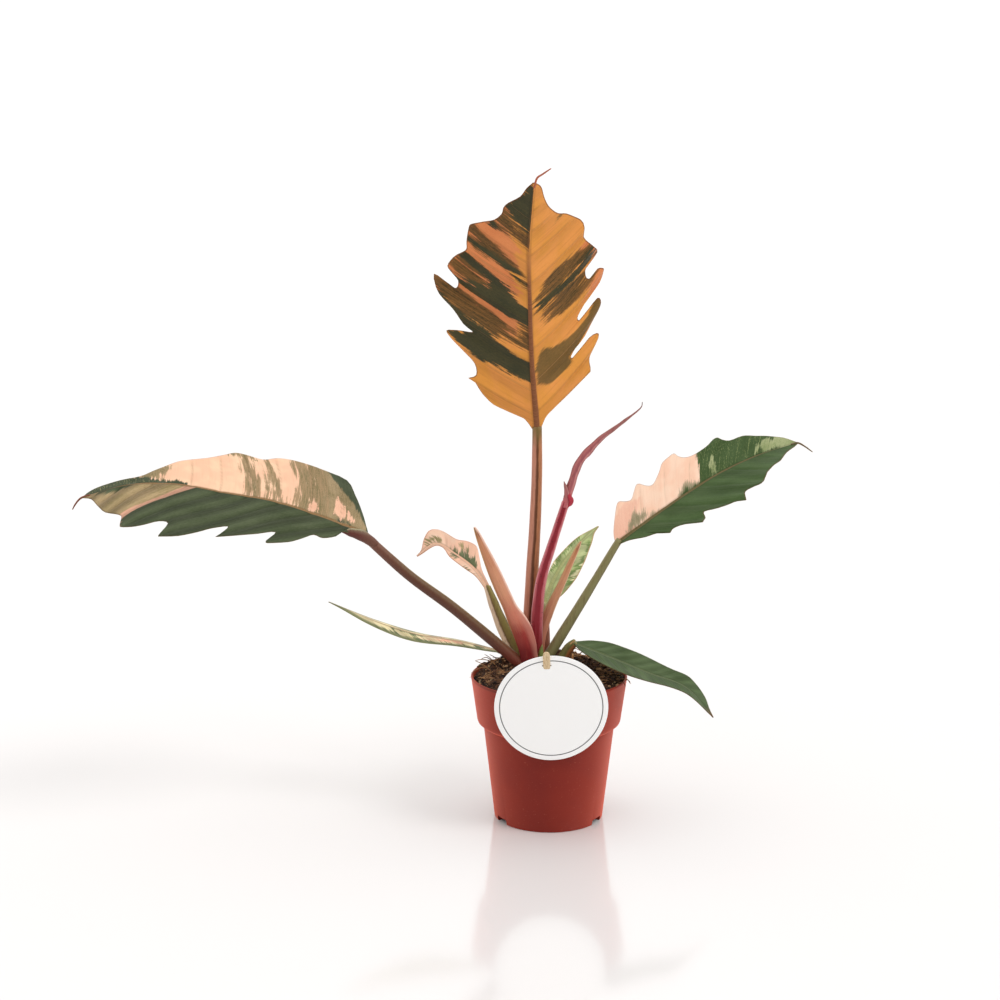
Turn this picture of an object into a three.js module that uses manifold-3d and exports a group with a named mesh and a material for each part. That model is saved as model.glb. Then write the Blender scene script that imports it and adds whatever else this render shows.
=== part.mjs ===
// Potted caramel marble philodendron in a 12 cm nursery pot.
// Millimetres, +Z up, the front towards -Y. The origin is on the pot's axis, on what it stands on.
import * as THREE from "three";
import { mergeVertices } from "three/addons/utils/BufferGeometryUtils.js";
import Module from "manifold-3d";

const wasm = await Module();
wasm.setup();

// Driving dimensions of the pot
const RIM_RADIUS = 60;
const POT_HEIGHT = 112;
const COLLAR_HEIGHT = 34;
const COLLAR_FOOT_RADIUS = 55.3;
const BODY_TOP_RADIUS = 50.4;
const BASE_RADIUS = 42;
const POT_WALL = 1.6;
const POT_SEGMENTS = 48;
const DRAIN = { width: 13, height: 4.2, inner: 36, count: 3, firstAngle: -30 };

// Driving dimensions of the soil, heaped a little over the rim
const SOIL_EDGE_HEIGHT = 109.5;
const SOIL_TOP_HEIGHT = 121;
const SOIL_RINGS = 6;
const SOIL_SEGMENTS = 36;
const LUMP_HEIGHT = 1.3;

// Clearances and thicknesses
const GAP = 0.3;
const BLADE_THICKNESS = 0.8;
const SHEATH_THICKNESS = 0.8;
const RIB_HEIGHT = 1.2;
const RIB_WIDTH = 3;
const STALK_SIDES = 10;
const STALK_STEP = 9;
const ROW_STEP = 0.5;
const LONGEST_ROW_GAP = 10;
const DRIP_RADII = [1.3, 0.9, 0.7, 0.5];

// A blade's columns lie at these shares of the way out from the midrib
const WIDE_BLADE = 30;
const WIDE_COLUMNS = [0, 0.09, 0.55, 1];
const NARROW_COLUMNS = [0, 0.3, 1];
const SHEATH_COLUMNS = [0, 0.3, 0.65, 1];

// Short stem that all the stalks grow from
const CROWN = { x: -12, y: 3, top: 119, bottom: 78, radiusX: 17, radiusY: 10, footShare: 0.55, sides: 20 };

// Label card and its stick
const CARD = { radius: 42, thickness: 0.8, height: 103.2, turn: 2.4, sides: 64 };
const CARD_SLOT = { fromTop: 9.5, side: -2.2 };
const STICK = { width: 5.2, thickness: 1.6, length: 96, lean: 19, aboveSlot: 12 };

// Each leaf: the midrib runs through points from the blade's base to its tip, and the upper side faces
// "face" at the base and at the tip. The outline is flat, in millimetres: [along the midrib, out from it],
// first on the left of the midrib seen from the upper side, then on the right. Side veins bend forwards by
// slope and bend, folds lift the two halves towards the upper side, in degrees.
const LEAVES = {
  tall: {
    midrib: [[-10, -6, 302], [-14, -14, 349], [-16, -24, 395], [-17, -38, 440], [-14, -58, 483]],
    face: [[0, 1, 0.15], [0, 1, 0.4]],
    folds: [30, 8],
    vein: [{ slope: 0.55, bend: 0.0036 }, { slope: 0.6, bend: 0.001 }],
    outline: [
      [[0, 3], [5, 6], [9, 9], [14, 16], [22, 29], [28, 38], [33, 43], [35, 50], [45, 51], [53, 54],
        [64, 58], [62, 51], [51, 41], [49, 34], [56, 39], [64, 48], [78, 57], [87, 60], [91, 58],
        [82, 49], [77, 43], [79, 41], [87, 47], [96, 56], [101, 62], [107, 65], [112, 63], [113, 58],
        [108, 54], [107, 49], [115, 50], [124, 60], [130, 55], [139, 47], [151, 45], [156, 39],
        [160, 28], [166, 22], [173, 14], [180, 8], [190, 0.7]],
      [[0, 3], [7, 7], [12, 12], [18, 23], [21, 31], [30, 39], [40, 44], [42, 48], [44, 42], [52, 43],
        [61, 51], [70, 59], [77, 62], [77, 54], [75, 43], [81, 50], [92, 57], [105, 66], [118, 70],
        [111, 60], [108, 54], [114, 52], [120, 56], [125, 59], [130, 55], [134, 48], [137, 45],
        [142, 45], [150, 44], [153, 42], [156, 34], [158, 26], [163, 21], [168, 20], [172, 17],
        [178, 9], [185, 5], [190, 0.7]],
    ],
    petiole: [[-17, 8, 112], [-15, 6.5, 154], [-13, 4, 194], [-11, 1, 233], [-10, -3, 268],
      [-10, -6, 302]],
    radii: [5, 3.4],
    drip: [[-14, -57, 480], [-12, -59, 486], [-8, -61, 489], [-2, -64, 493]],
    colours: [0xd78c41, 0xaf6e50],
  },
  left: {
    midrib: [[-137, -14, 225], [-171, -17, 239], [-206, -20, 251], [-241, -24, 258], [-276, -28, 265],
      [-311, -31, 265], [-345, -34, 256]],
    face: [[0, -0.35, 0.94], [0, -0.35, 0.94]],
    folds: [-2.5, -2.5],
    vein: [{ slope: 0.5, bend: 0.002 }, { slope: 0.45, bend: 0.002 }],
    outline: [
      [[0, 3], [8, 6], [19, 10], [22, 18], [31, 26], [38, 26], [45, 35], [54, 45], [69, 54], [71, 51],
        [65, 38], [79, 46], [93, 52], [109, 58], [106, 53], [102, 43], [113, 49], [122, 57], [135, 66],
        [148, 69], [150, 67], [145, 52], [152, 50], [163, 55], [173, 57], [184, 55], [185, 50],
        [184, 42], [187, 38], [198, 30], [204, 18], [209, 6], [216, 0.7]],
      [[0, 3], [3, 13], [6, 23], [11, 37], [16, 49], [25, 67], [44, 70], [58, 71], [68, 71], [76, 69],
        [85, 63], [98, 67], [107, 67], [115, 60], [126, 50], [135, 44], [147, 37], [156, 28],
        [164, 20], [173, 12], [190, 10], [204, 9], [211, 6], [216, 0.7]],
    ],
    petiole: [[-11, -7, 115], [-43, -9, 145.5], [-74, -11, 172], [-106, -13, 195], [-137, -14, 225]],
    radii: [4.6, 3],
    drip: [[-340, -34, 257.5], [-345, -34, 256], [-349, -35, 252], [-352, -35, 247]],
    colours: [0x8c8a62, 0x643c32],
  },
  right: {
    midrib: [[52, 10, 213], [79, 23, 230], [106, 36, 246], [135, 50, 261], [166, 62, 273], [199, 75, 281]],
    face: [[0.106, -0.236, 0.966], [0.106, -0.236, 0.966]],
    folds: [9, 9],
    vein: [{ slope: 0.5, bend: 0.002 }, { slope: 0.5, bend: 0.003 }],
    outline: [
      [[0, 3], [3, 8], [8, 14], [22, 28], [28, 32], [32, 29], [37, 27], [44, 32], [51, 36], [55, 30],
        [60, 27], [72, 34], [80, 40], [90, 43], [93, 42], [93, 37], [96, 33], [104, 31], [114, 33],
        [123, 38], [127, 38], [128, 33], [132, 29], [144, 28], [161, 18], [170, 11], [176, 0.7]],
      [[0, 3], [8, 7], [17, 16], [25, 21], [31, 30], [36, 29], [44, 34], [53, 45], [59, 41], [63, 35],
        [72, 42], [84, 45], [91, 51], [99, 42], [107, 44], [114, 47], [121, 41], [125, 38], [132, 31],
        [147, 23], [159, 12], [169, 6], [176, 0.7]],
    ],
    petiole: [[-8, 2, 113], [7, 4, 138], [22, 6, 162.5], [37, 8, 187.5], [52, 10, 213]],
    radii: [4.4, 2.6],
    drip: [[195, 73, 280.5], [199, 75, 281], [205, 77, 278], [212, 78, 273]],
    colours: [0x7f9660, 0x7d7346],
  },
  back_left: {
    midrib: [[-47, 24, 174], [-57, 30, 188], [-72, 35, 199], [-88, 38, 207], [-103, 36, 197]],
    face: [[0.3, -0.7, 0.7], [0, -0.7, 0.7]],
    folds: [4, 4],
    vein: [{ slope: 0.5, bend: 0 }, { slope: 0.5, bend: 0 }],
    outline: [
      [[0, 2.5], [7, 3], [14, 4], [22, 6], [30, 6.5], [40, 5.5], [48, 2], [58, 2.5], [66, 2], [74, 0.7]],
      [[0, 2.5], [8, 3], [16, 4.5], [23, 10], [29, 16], [34, 16], [39, 14], [44, 11], [50, 11],
        [57, 13], [61, 9], [68, 2], [74, 0.7]],
    ],
    petiole: [[-18, 4, 113], [-25, 8, 126.5], [-33, 13, 141], [-40, 18, 156.5], [-47, 24, 174]],
    radii: [4.6, 2.6],
    colours: [0xe6b48c, 0xa09070],
  },
  back_right: {
    midrib: [[-3, 22, 161], [6, 34, 182], [21, 46, 201], [40, 56, 217]],
    face: [[-0.5, -0.6, 0.6], [-0.5, -0.6, 0.6]],
    folds: [5, 5],
    vein: [{ slope: 0.5, bend: 0 }, { slope: 0.5, bend: 0 }],
    outline: [
      [[0, 2.5], [8, 3.5], [18, 5.5], [27, 7.5], [37, 9], [46, 8], [55, 7], [63, 6], [70, 4], [80, 0.7]],
      [[0, 2.5], [4, 8], [12, 15], [20, 19], [29, 21], [39, 20], [50, 17], [64, 10], [73, 3], [80, 0.7]],
    ],
    petiole: [[-4, 7, 112], [-2, 12, 130], [-2, 17, 146], [-3, 22, 161]],
    radii: [3.4, 2.4],
    colours: [0xa5b47d, 0x7a4a38],
  },
  low_left: {
    midrib: [[-38, 8.5, 130], [-70, 13, 137], [-103, 17, 141.5], [-136, 20, 151], [-168, 22, 163]],
    face: [[0.25, 0.095, 0.96], [0.25, 0.095, 0.96]],
    folds: [-8.5, -8.5],
    vein: [{ slope: 0.7, bend: 0 }, { slope: 0.7, bend: 0 }],
    outline: [
      [[0, 2.2], [14, 6], [34, 10.5], [60, 13], [84, 12], [106, 8.5], [124, 4], [139, 0.7]],
      [[0, 2.2], [14, 6], [34, 10.5], [60, 13], [84, 12], [106, 8.5], [124, 4], [139, 0.7]],
    ],
    petiole: [[-21, 5, 112], [-26, 6.5, 122], [-31, 7.5, 128], [-38, 8.5, 130]],
    radii: [2.8, 2],
    colours: [0x9aa070, 0x8a8a5a],
  },
  low_right: {
    midrib: [[19, -8, 139], [47, -14, 129], [75, -21, 119], [102, -28, 110], [122, -34, 89]],
    face: [[0.3, -0.19, 0.93], [0.4, -0.19, 0.9]],
    folds: [5, 5],
    vein: [{ slope: 0.7, bend: 0 }, { slope: 0.7, bend: 0 }],
    outline: [
      [[0, 3], [4, 7], [11, 14], [23, 21], [35, 23], [48, 23.5], [62, 21.5], [76, 17.5], [87, 17.5],
        [94, 15], [102, 12.5], [108, 10], [114, 5], [121, 0.7]],
      [[0, 3], [5, 9], [12, 15], [27, 21], [41, 23], [51, 22.5], [62, 19.5], [74, 17], [85, 15],
        [96, 10], [108, 5], [121, 0.7]],
    ],
    petiole: [[5, -1, 113], [10, -3, 124], [14, -5, 133], [19, -8, 139]],
    radii: [4.4, 2.8],
    colours: [0x55784b, 0x8a7a4a],
  },
};

// Papery scales round the young leaves, each a narrow channel
const SHEATHS = {
  large: {
    midrib: [[-14, -12, 118], [-18, -13, 139], [-27, -15, 161], [-37, -17, 183], [-47, -19, 207],
      [-57, -21, 232]],
    face: [[0.2, 1, 0.2], [0.2, 1, 0.2]],
    folds: [26, 26],
    widths: [[0, 6.5], [12, 7.8], [32, 9], [54, 6.8], [76, 5.8], [95, 4], [109, 2], [122, 0.7]],
    colour: 0xc06a52,
  },
  small: {
    midrib: [[-7, 2.5, 119], [-6, 2, 141], [0, 0, 162], [9, -2, 183], [16, -3, 200], [23, -4, 216]],
    face: [[0.1, 1, 0.2], [-0.2, 1, 0.3]],
    folds: [24, 24],
    widths: [[0, 3], [12, 3.4], [40, 4], [66, 3.8], [90, 2.2], [104, 0.7]],
    colour: 0xc8876a,
  },
};

// The new leaf: a crimson stalk, and a blade still rolled to a spear
const NEW_LEAF = {
  petiole: [[-10, -3, 112], [-10, -4, 140], [-9, -5, 167], [-6, -6, 190], [1, -8, 214], [11, -8, 246]],
  petioleRadii: [4.6, 2.6],
  spear: [[10.8, -8, 245], [16, -8, 262], [22, -8, 279], [36, -8, 295], [57, -8, 311], [68, -8, 324]],
  spearRadii: [2.4, 3, 2.9, 2.6, 1.8, 0.6],
  lobe: [[13, -8, 252], [11.6, -10.5, 257], [10, -11, 264]],
  lobeRadii: [1.6, 1.2, 0.6],
};

// Short green scale between the back stalks
const STUB = { points: [[-8, 16, 112], [-7.5, 17, 126], [-6, 18, 138]], radii: [2.6, 2.2, 0.7] };

const COLOURS = {
  pot: 0xa54b3e,
  soil: 0x3a2a20,
  crown: 0x5a4a34,
  card: 0xfafaf8,
  stick: 0xe1c8a5,
  newStalk: 0xc3646e,
  spear: 0xb46e69,
  stub: 0x7f8a4a,
};

const group = new THREE.Group();

// A closed geometry as a solid that can be cut
function solidOf(geometry) {
  const bare = geometry.clone();
  bare.deleteAttribute("normal");
  bare.deleteAttribute("uv");
  const merged = mergeVertices(bare, 1e-4);
  return new wasm.Manifold(
    new wasm.Mesh({
      numProp: 3,
      vertProperties: merged.attributes.position.array,
      triVerts: new Uint32Array(merged.index.array),
    }),
  );
}

// The same, with its faces turned round where they point inwards
function outwardSolid(geometry) {
  const solid = solidOf(geometry);
  return solid.volume() > 0 ? solid : solidOf(flipped(geometry));
}

function flipped(geometry) {
  const index = geometry.index.array;
  for (let i = 0; i < index.length; i += 3) {
    [index[i + 1], index[i + 2]] = [index[i + 2], index[i + 1]];
  }
  return geometry;
}

function geometryOf(solid) {
  const mesh = solid.getMesh();
  const geometry = new THREE.BufferGeometry();
  geometry.setAttribute("position", new THREE.BufferAttribute(mesh.vertProperties, 3));
  geometry.setIndex(new THREE.BufferAttribute(mesh.triVerts, 1));
  return geometry;
}

// Cutting can leave a loose scrap, so only the largest body is kept
function largestBody(solid) {
  const bodies = solid.decompose();
  return bodies.reduce((best, body) => (body.volume() > best.volume() ? body : best));
}

function addPiece(name, solid, colour, roughness = 0.5) {
  const material = new THREE.MeshStandardMaterial({ color: colour, roughness, metalness: 0 });
  const mesh = new THREE.Mesh(geometryOf(solid), material);
  mesh.name = name;
  group.add(mesh);
}

function smoothCurve(points) {
  const places = points.map((point) => new THREE.Vector3(...point));
  return new THREE.CatmullRomCurve3(places, false, "catmullrom", 0.5);
}

// A round stalk along a curve: a closed cylinder bent on to it, its radius running through the list
function stalk(points, radii, grow = 0) {
  const curve = smoothCurve(points);
  const steps = Math.max(4, Math.round(curve.getLength() / STALK_STEP));
  const frames = curve.computeFrenetFrames(steps, false);
  const geometry = new THREE.CylinderGeometry(1, 1, 1, STALK_SIDES, steps);
  const position = geometry.attributes.position;
  for (let i = 0; i < position.count; i += 1) {
    const along = Math.round((0.5 - position.getY(i)) * steps);
    const share = along / steps;
    const place = curve.getPointAt(share);
    const radius = valueAlong(radii, share) + grow;
    place.addScaledVector(frames.normals[along], position.getX(i) * radius);
    place.addScaledVector(frames.binormals[along], position.getZ(i) * radius);
    if (grow > 0 && (along === 0 || along === steps)) {
      place.addScaledVector(frames.tangents[along], along === 0 ? -grow : grow);
    }
    position.setXYZ(i, place.x, place.y, place.z);
  }
  return outwardSolid(geometry);
}

function valueAlong(values, share) {
  const at = share * (values.length - 1);
  const before = Math.min(Math.floor(at), values.length - 2);
  return THREE.MathUtils.lerp(values[before], values[before + 1], at - before);
}

// Where a side vein that ends at the outline point leaves the midrib. Each one starts further on than the
// one before, also where a lobe's upper edge runs back to its slot.
function veinFeet(outline, vein) {
  let last = -ROW_STEP;
  return outline.map(([along, out]) => {
    const natural = along - vein.slope * out - vein.bend * out * out;
    last = Math.max(last + ROW_STEP, Math.round(natural / ROW_STEP) * ROW_STEP);
    return { foot: last, along, out };
  });
}

function edgeAt(feet, foot) {
  const after = feet.findIndex((end) => end.foot >= foot);
  if (after <= 0) {
    return after === 0 ? feet[0] : feet[feet.length - 1];
  }
  const a = feet[after - 1];
  const b = feet[after];
  const share = (foot - a.foot) / (b.foot - a.foot);
  const along = THREE.MathUtils.lerp(a.along, b.along, share);
  const out = THREE.MathUtils.lerp(a.out, b.out, share);
  return { along, out };
}

// Rows where either side has an outline point, and between them where they lie far apart
function rowFeet(sides) {
  const all = sides.flatMap((side) => side.map((end) => end.foot));
  const sorted = [...new Set(all)].sort((a, b) => a - b);
  const rows = [sorted[0]];
  for (const foot of sorted.slice(1)) {
    const last = rows[rows.length - 1];
    const parts = Math.ceil((foot - last) / LONGEST_ROW_GAP);
    for (let i = 1; i <= parts; i += 1) {
      rows.push(last + ((foot - last) * i) / parts);
    }
  }
  return rows;
}

// The leaf's bent surface: a point of the flat leaf, lifted by a height over its upper side
function bentPlace(leaf, curve, length, side, along, out, lift) {
  const share = THREE.MathUtils.clamp(along / length, 0, 1);
  const tangent = curve.getTangent(share);
  const faceStart = new THREE.Vector3(...leaf.face[0]);
  const face = faceStart.lerp(new THREE.Vector3(...leaf.face[1]), share);
  const across = face.cross(tangent).normalize();
  const up = tangent.clone().cross(across);
  const fold = THREE.MathUtils.degToRad(leaf.folds[side]);
  const sign = side === 0 ? 1 : -1;
  const tilt = out > 0 ? fold : 0;
  const sideways = out * Math.cos(fold) - lift * Math.sin(tilt);
  const upwards = out * Math.sin(fold) + lift * Math.cos(tilt);
  const place = curve.getPoint(share);
  place.addScaledVector(tangent, along - share * length);
  place.addScaledVector(across, sign * sideways);
  return place.addScaledVector(up, upwards);
}

// A solid blade: the same grid of rows and columns on both faces, and a rim round them
function blade(leaf, outlines, shares, thickness, rib) {
  const curve = smoothCurve(leaf.midrib);
  const length = curve.getLength();
  const sides = outlines.map((outline, side) => veinFeet(outline, leaf.vein[side]));
  const rows = rowFeet(sides);
  const right = shares.slice(1).reverse().map((share) => [1, share]);
  const columns = [...right, ...shares.map((share) => [0, share])];
  const upper = [];
  const lower = [];
  for (const foot of rows) {
    for (const [side, share] of columns) {
      const end = edgeAt(sides[side], foot);
      const vein = leaf.vein[side];
      const out = end.out * share;
      const run = vein.slope * out + vein.bend * out * out;
      const wholeRun = vein.slope * end.out + vein.bend * end.out * end.out;
      const along = foot + ((end.along - foot) * run) / wholeRun;
      const ridge = rib * (1 - foot / length) * Math.max(0, 1 - out / RIB_WIDTH);
      upper.push(bentPlace(leaf, curve, length, side, along, out, thickness / 2));
      lower.push(bentPlace(leaf, curve, length, side, along, out, -thickness / 2 - ridge));
    }
  }
  return sheetSolid(upper, lower, rows.length, columns.length);
}

function sheetSolid(upper, lower, rowCount, columnCount) {
  const grid = new THREE.PlaneGeometry(1, 1, columnCount - 1, rowCount - 1);
  const top = [...grid.index.array];
  const count = upper.length;
  const index = [];
  for (let i = 0; i < top.length; i += 3) {
    index.push(top[i], top[i + 1], top[i + 2]);
    index.push(count + top[i], count + top[i + 2], count + top[i + 1]);
  }
  const last = (rowCount - 1) * columnCount;
  const rim = [];
  for (let column = 0; column < columnCount - 1; column += 1) {
    rim.push(column);
  }
  for (let row = 0; row < rowCount - 1; row += 1) {
    rim.push(row * columnCount + columnCount - 1);
  }
  for (let column = columnCount - 1; column > 0; column -= 1) {
    rim.push(last + column);
  }
  for (let row = rowCount - 1; row > 0; row -= 1) {
    rim.push(row * columnCount);
  }
  rim.forEach((a, i) => {
    const b = rim[(i + 1) % rim.length];
    index.push(a, b, count + b, a, count + b, count + a);
  });
  const geometry = new THREE.BufferGeometry().setFromPoints([...upper, ...lower]);
  geometry.setIndex(index);
  return outwardSolid(geometry);
}

function leafBlade(leaf) {
  const widest = Math.max(...leaf.outline[0].map(([, out]) => out));
  const shares = widest > WIDE_BLADE ? WIDE_COLUMNS : NARROW_COLUMNS;
  const body = blade(leaf, leaf.outline, shares, BLADE_THICKNESS, RIB_HEIGHT);
  return leaf.drip ? body.add(stalk(leaf.drip, DRIP_RADII)) : body;
}

function sheathBlade(sheath, grow = 0) {
  const outline = sheath.widths;
  const leaf = { ...sheath, vein: [{ slope: 0.2, bend: 0 }, { slope: 0.2, bend: 0 }] };
  return blade(leaf, [outline, outline], SHEATH_COLUMNS, SHEATH_THICKNESS + grow, 0);
}

// A turned geometry from [radius, height] pairs
function turned(profile, segments) {
  const points = profile.map(([radius, height]) => new THREE.Vector2(radius, height));
  return new THREE.LatheGeometry(points, segments).rotateX(Math.PI / 2);
}

function potSolid() {
  const collarFoot = POT_HEIGHT - COLLAR_HEIGHT;
  const floor = POT_WALL;
  const profile = [
    [0, 0],
    [BASE_RADIUS - 1, 0],
    [BASE_RADIUS, 1],
    [BODY_TOP_RADIUS, collarFoot - 4.5],
    [BODY_TOP_RADIUS + 2.4, collarFoot - 3.6],
    [COLLAR_FOOT_RADIUS - 0.6, collarFoot - 1.8],
    [COLLAR_FOOT_RADIUS, collarFoot],
    [RIM_RADIUS, POT_HEIGHT - 0.8],
    [RIM_RADIUS - POT_WALL / 2, POT_HEIGHT],
    [RIM_RADIUS - POT_WALL, POT_HEIGHT - 0.8],
    [COLLAR_FOOT_RADIUS - POT_WALL, collarFoot],
    [BODY_TOP_RADIUS - POT_WALL, collarFoot - 3],
    [BASE_RADIUS - POT_WALL, floor],
    [0, floor],
  ];
  let pot = outwardSolid(turned(profile, POT_SEGMENTS));
  for (let i = 0; i < DRAIN.count; i += 1) {
    const depth = BASE_RADIUS + 6 - DRAIN.inner;
    const hole = new THREE.BoxGeometry(depth, DRAIN.width, DRAIN.height + 2);
    hole.translate(DRAIN.inner + depth / 2, 0, DRAIN.height / 2 - 1);
    hole.rotateZ(THREE.MathUtils.degToRad(DRAIN.firstAngle + (360 * i) / DRAIN.count));
    pot = pot.subtract(solidOf(hole));
  }
  return pot;
}

// Height of the soil over a point, lumpy, and level with the wall at the edge
function soilHeight(x, y) {
  const fromMiddle = Math.min(1, Math.hypot(x, y) / innerRadiusAt(SOIL_EDGE_HEIGHT));
  const heap = SOIL_EDGE_HEIGHT + (SOIL_TOP_HEIGHT - SOIL_EDGE_HEIGHT) * (1 - fromMiddle ** 2.6);
  const lumps = Math.sin(x * 0.45 + 1.3) * Math.cos(y * 0.52 - 0.4) + 0.6 * Math.sin(x * 0.21 - y * 0.83);
  return heap + LUMP_HEIGHT * lumps * (1 - 0.6 * fromMiddle) + 1.2 * fromMiddle * (x / RIM_RADIUS);
}

function innerRadiusAt(height) {
  const collarFoot = POT_HEIGHT - COLLAR_HEIGHT;
  const share = (height - collarFoot) / COLLAR_HEIGHT;
  return THREE.MathUtils.lerp(COLLAR_FOOT_RADIUS, RIM_RADIUS, share) - POT_WALL;
}

function soilSolid() {
  const collarFoot = POT_HEIGHT - COLLAR_HEIGHT;
  const edge = innerRadiusAt(SOIL_EDGE_HEIGHT) - GAP - 0.1;
  const floor = POT_WALL + GAP;
  const profile = [
    [0, floor],
    [BASE_RADIUS - POT_WALL - GAP - 0.2, floor],
    [BODY_TOP_RADIUS - POT_WALL - GAP - 0.1, collarFoot - 3],
    [COLLAR_FOOT_RADIUS - POT_WALL - GAP - 0.3, collarFoot + 0.6],
    [edge, SOIL_EDGE_HEIGHT - 2],
  ];
  for (let ring = SOIL_RINGS; ring >= 0; ring -= 1) {
    profile.push([((edge - 0.2) * ring) / SOIL_RINGS, SOIL_EDGE_HEIGHT]);
  }
  const geometry = turned(profile, SOIL_SEGMENTS);
  const position = geometry.attributes.position;
  for (let i = 0; i < position.count; i += 1) {
    if (position.getZ(i) > SOIL_EDGE_HEIGHT - 1) {
      position.setZ(i, soilHeight(position.getX(i), position.getY(i)));
    }
  }
  return outwardSolid(geometry);
}

function crownSolid(grow = 0) {
  const height = CROWN.top - CROWN.bottom + 2 * grow;
  const geometry = new THREE.CylinderGeometry(1, CROWN.footShare, height, CROWN.sides, 1);
  geometry.rotateX(Math.PI / 2);
  geometry.scale(CROWN.radiusX + grow, CROWN.radiusY + grow, 1);
  geometry.translate(CROWN.x, CROWN.y, (CROWN.top + CROWN.bottom) / 2);
  return solidOf(geometry);
}

// The card lies flat against the collar's slope at the front
function cardPlacement() {
  const slope = (RIM_RADIUS - COLLAR_FOOT_RADIUS) / COLLAR_HEIGHT;
  const lean = Math.atan(slope);
  const front = COLLAR_FOOT_RADIUS + slope * (CARD.height - POT_HEIGHT + COLLAR_HEIGHT);
  const y = -front - (GAP + CARD.thickness / 2) / Math.cos(lean);
  const turn = new THREE.Matrix4().makeRotationY(THREE.MathUtils.degToRad(-CARD.turn));
  const tilt = new THREE.Matrix4().makeRotationX(lean);
  return new THREE.Matrix4().makeTranslation(0, y, CARD.height).multiply(tilt).multiply(turn);
}

function stickPlacement() {
  const slot = new THREE.Vector3(CARD_SLOT.side, 0, CARD.radius - CARD_SLOT.fromTop);
  slot.applyMatrix4(cardPlacement());
  const tilt = new THREE.Matrix4().makeRotationX(THREE.MathUtils.degToRad(STICK.lean));
  const turn = new THREE.Matrix4().makeRotationY(THREE.MathUtils.degToRad(-CARD.turn));
  return new THREE.Matrix4().makeTranslation(slot.x, slot.y, slot.z).multiply(tilt).multiply(turn);
}

function stickSolid(grow = 0) {
  const half = STICK.width / 2 + grow;
  const outline = new THREE.Shape();
  outline.moveTo(-half, STICK.aboveSlot - STICK.length - grow);
  outline.lineTo(half, STICK.aboveSlot - STICK.length - grow);
  outline.lineTo(half, STICK.aboveSlot - STICK.width / 2);
  outline.absarc(0, STICK.aboveSlot - STICK.width / 2, half, 0, Math.PI);
  const depth = STICK.thickness + 2 * grow;
  const geometry = new THREE.ExtrudeGeometry(outline, { depth, bevelEnabled: false, curveSegments: 6 });
  geometry.translate(0, 0, -depth / 2);
  geometry.rotateX(Math.PI / 2);
  geometry.applyMatrix4(stickPlacement());
  return solidOf(geometry);
}

function cardSolid() {
  const geometry = new THREE.CylinderGeometry(CARD.radius, CARD.radius, CARD.thickness, CARD.sides);
  geometry.applyMatrix4(cardPlacement());
  return solidOf(geometry).subtract(stickSolid(GAP));
}

// Everything that grows from the crown, the front first: each piece is trimmed round those before it
const growing = [];

function grow(name, solid, grown, colour) {
  let trimmed = solid.subtract(crownSolid(GAP));
  for (const other of growing) {
    trimmed = trimmed.subtract(other.grown);
  }
  growing.push({ name, grown });
  addPiece(name, largestBody(trimmed), colour);
}

function growStalk(name, points, radii, colour) {
  grow(name, stalk(points, radii), stalk(points, radii, GAP), colour);
}

growStalk("petiole_new", NEW_LEAF.petiole, NEW_LEAF.petioleRadii, COLOURS.newStalk);
for (const name of ["left", "tall", "right", "low_right", "back_left", "back_right", "low_left"]) {
  const leaf = LEAVES[name];
  growStalk("petiole_" + name, leaf.petiole, leaf.radii, leaf.colours[1]);
}
growStalk("stub_green", STUB.points, STUB.radii, COLOURS.stub);
for (const [name, sheath] of Object.entries(SHEATHS)) {
  grow("sheath_" + name, sheathBlade(sheath), sheathBlade(sheath, 2 * GAP), sheath.colour);
}

for (const [name, leaf] of Object.entries(LEAVES)) {
  const petiole = growing.find((piece) => piece.name === "petiole_" + name);
  addPiece("blade_" + name, largestBody(leafBlade(leaf).subtract(petiole.grown)), leaf.colours[0]);
}
const newPetiole = growing.find((piece) => piece.name === "petiole_new");
const spear = stalk(NEW_LEAF.spear, NEW_LEAF.spearRadii).add(stalk(NEW_LEAF.lobe, NEW_LEAF.lobeRadii));
addPiece("blade_new", largestBody(spear.subtract(newPetiole.grown)), COLOURS.spear);

let soil = soilSolid().subtract(crownSolid(GAP)).subtract(stickSolid(GAP));
for (const piece of growing) {
  soil = soil.subtract(piece.grown);
}
addPiece("pot", potSolid(), COLOURS.pot, 0.45);
addPiece("soil", largestBody(soil), COLOURS.soil, 0.95);
addPiece("crown", crownSolid(), COLOURS.crown, 0.7);
addPiece("label_card", cardSolid(), COLOURS.card, 0.6);
addPiece("label_stick", stickSolid(), COLOURS.stick, 0.7);

export default group;
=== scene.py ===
# Looks for the potted caramel marble philodendron. Lengths are millimetres until a mesh is stored in metres.
import math
import random

import bmesh
import bpy
from mathutils import Matrix, Vector, noise


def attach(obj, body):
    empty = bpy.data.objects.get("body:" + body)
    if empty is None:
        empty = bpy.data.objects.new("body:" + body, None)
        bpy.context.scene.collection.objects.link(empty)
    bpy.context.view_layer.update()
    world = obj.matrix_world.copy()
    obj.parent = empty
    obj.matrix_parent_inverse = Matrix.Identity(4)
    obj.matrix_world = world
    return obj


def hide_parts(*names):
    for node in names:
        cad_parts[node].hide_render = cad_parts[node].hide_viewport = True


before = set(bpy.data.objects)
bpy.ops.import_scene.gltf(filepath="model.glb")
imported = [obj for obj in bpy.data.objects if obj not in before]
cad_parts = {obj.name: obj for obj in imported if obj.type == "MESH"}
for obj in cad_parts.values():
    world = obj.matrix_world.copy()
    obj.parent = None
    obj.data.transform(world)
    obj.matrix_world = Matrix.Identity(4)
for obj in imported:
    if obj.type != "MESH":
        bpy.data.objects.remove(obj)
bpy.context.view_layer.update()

MM = 0.001
UV_UNIT = 100.0  # millimetres in one unit of a UV map

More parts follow.
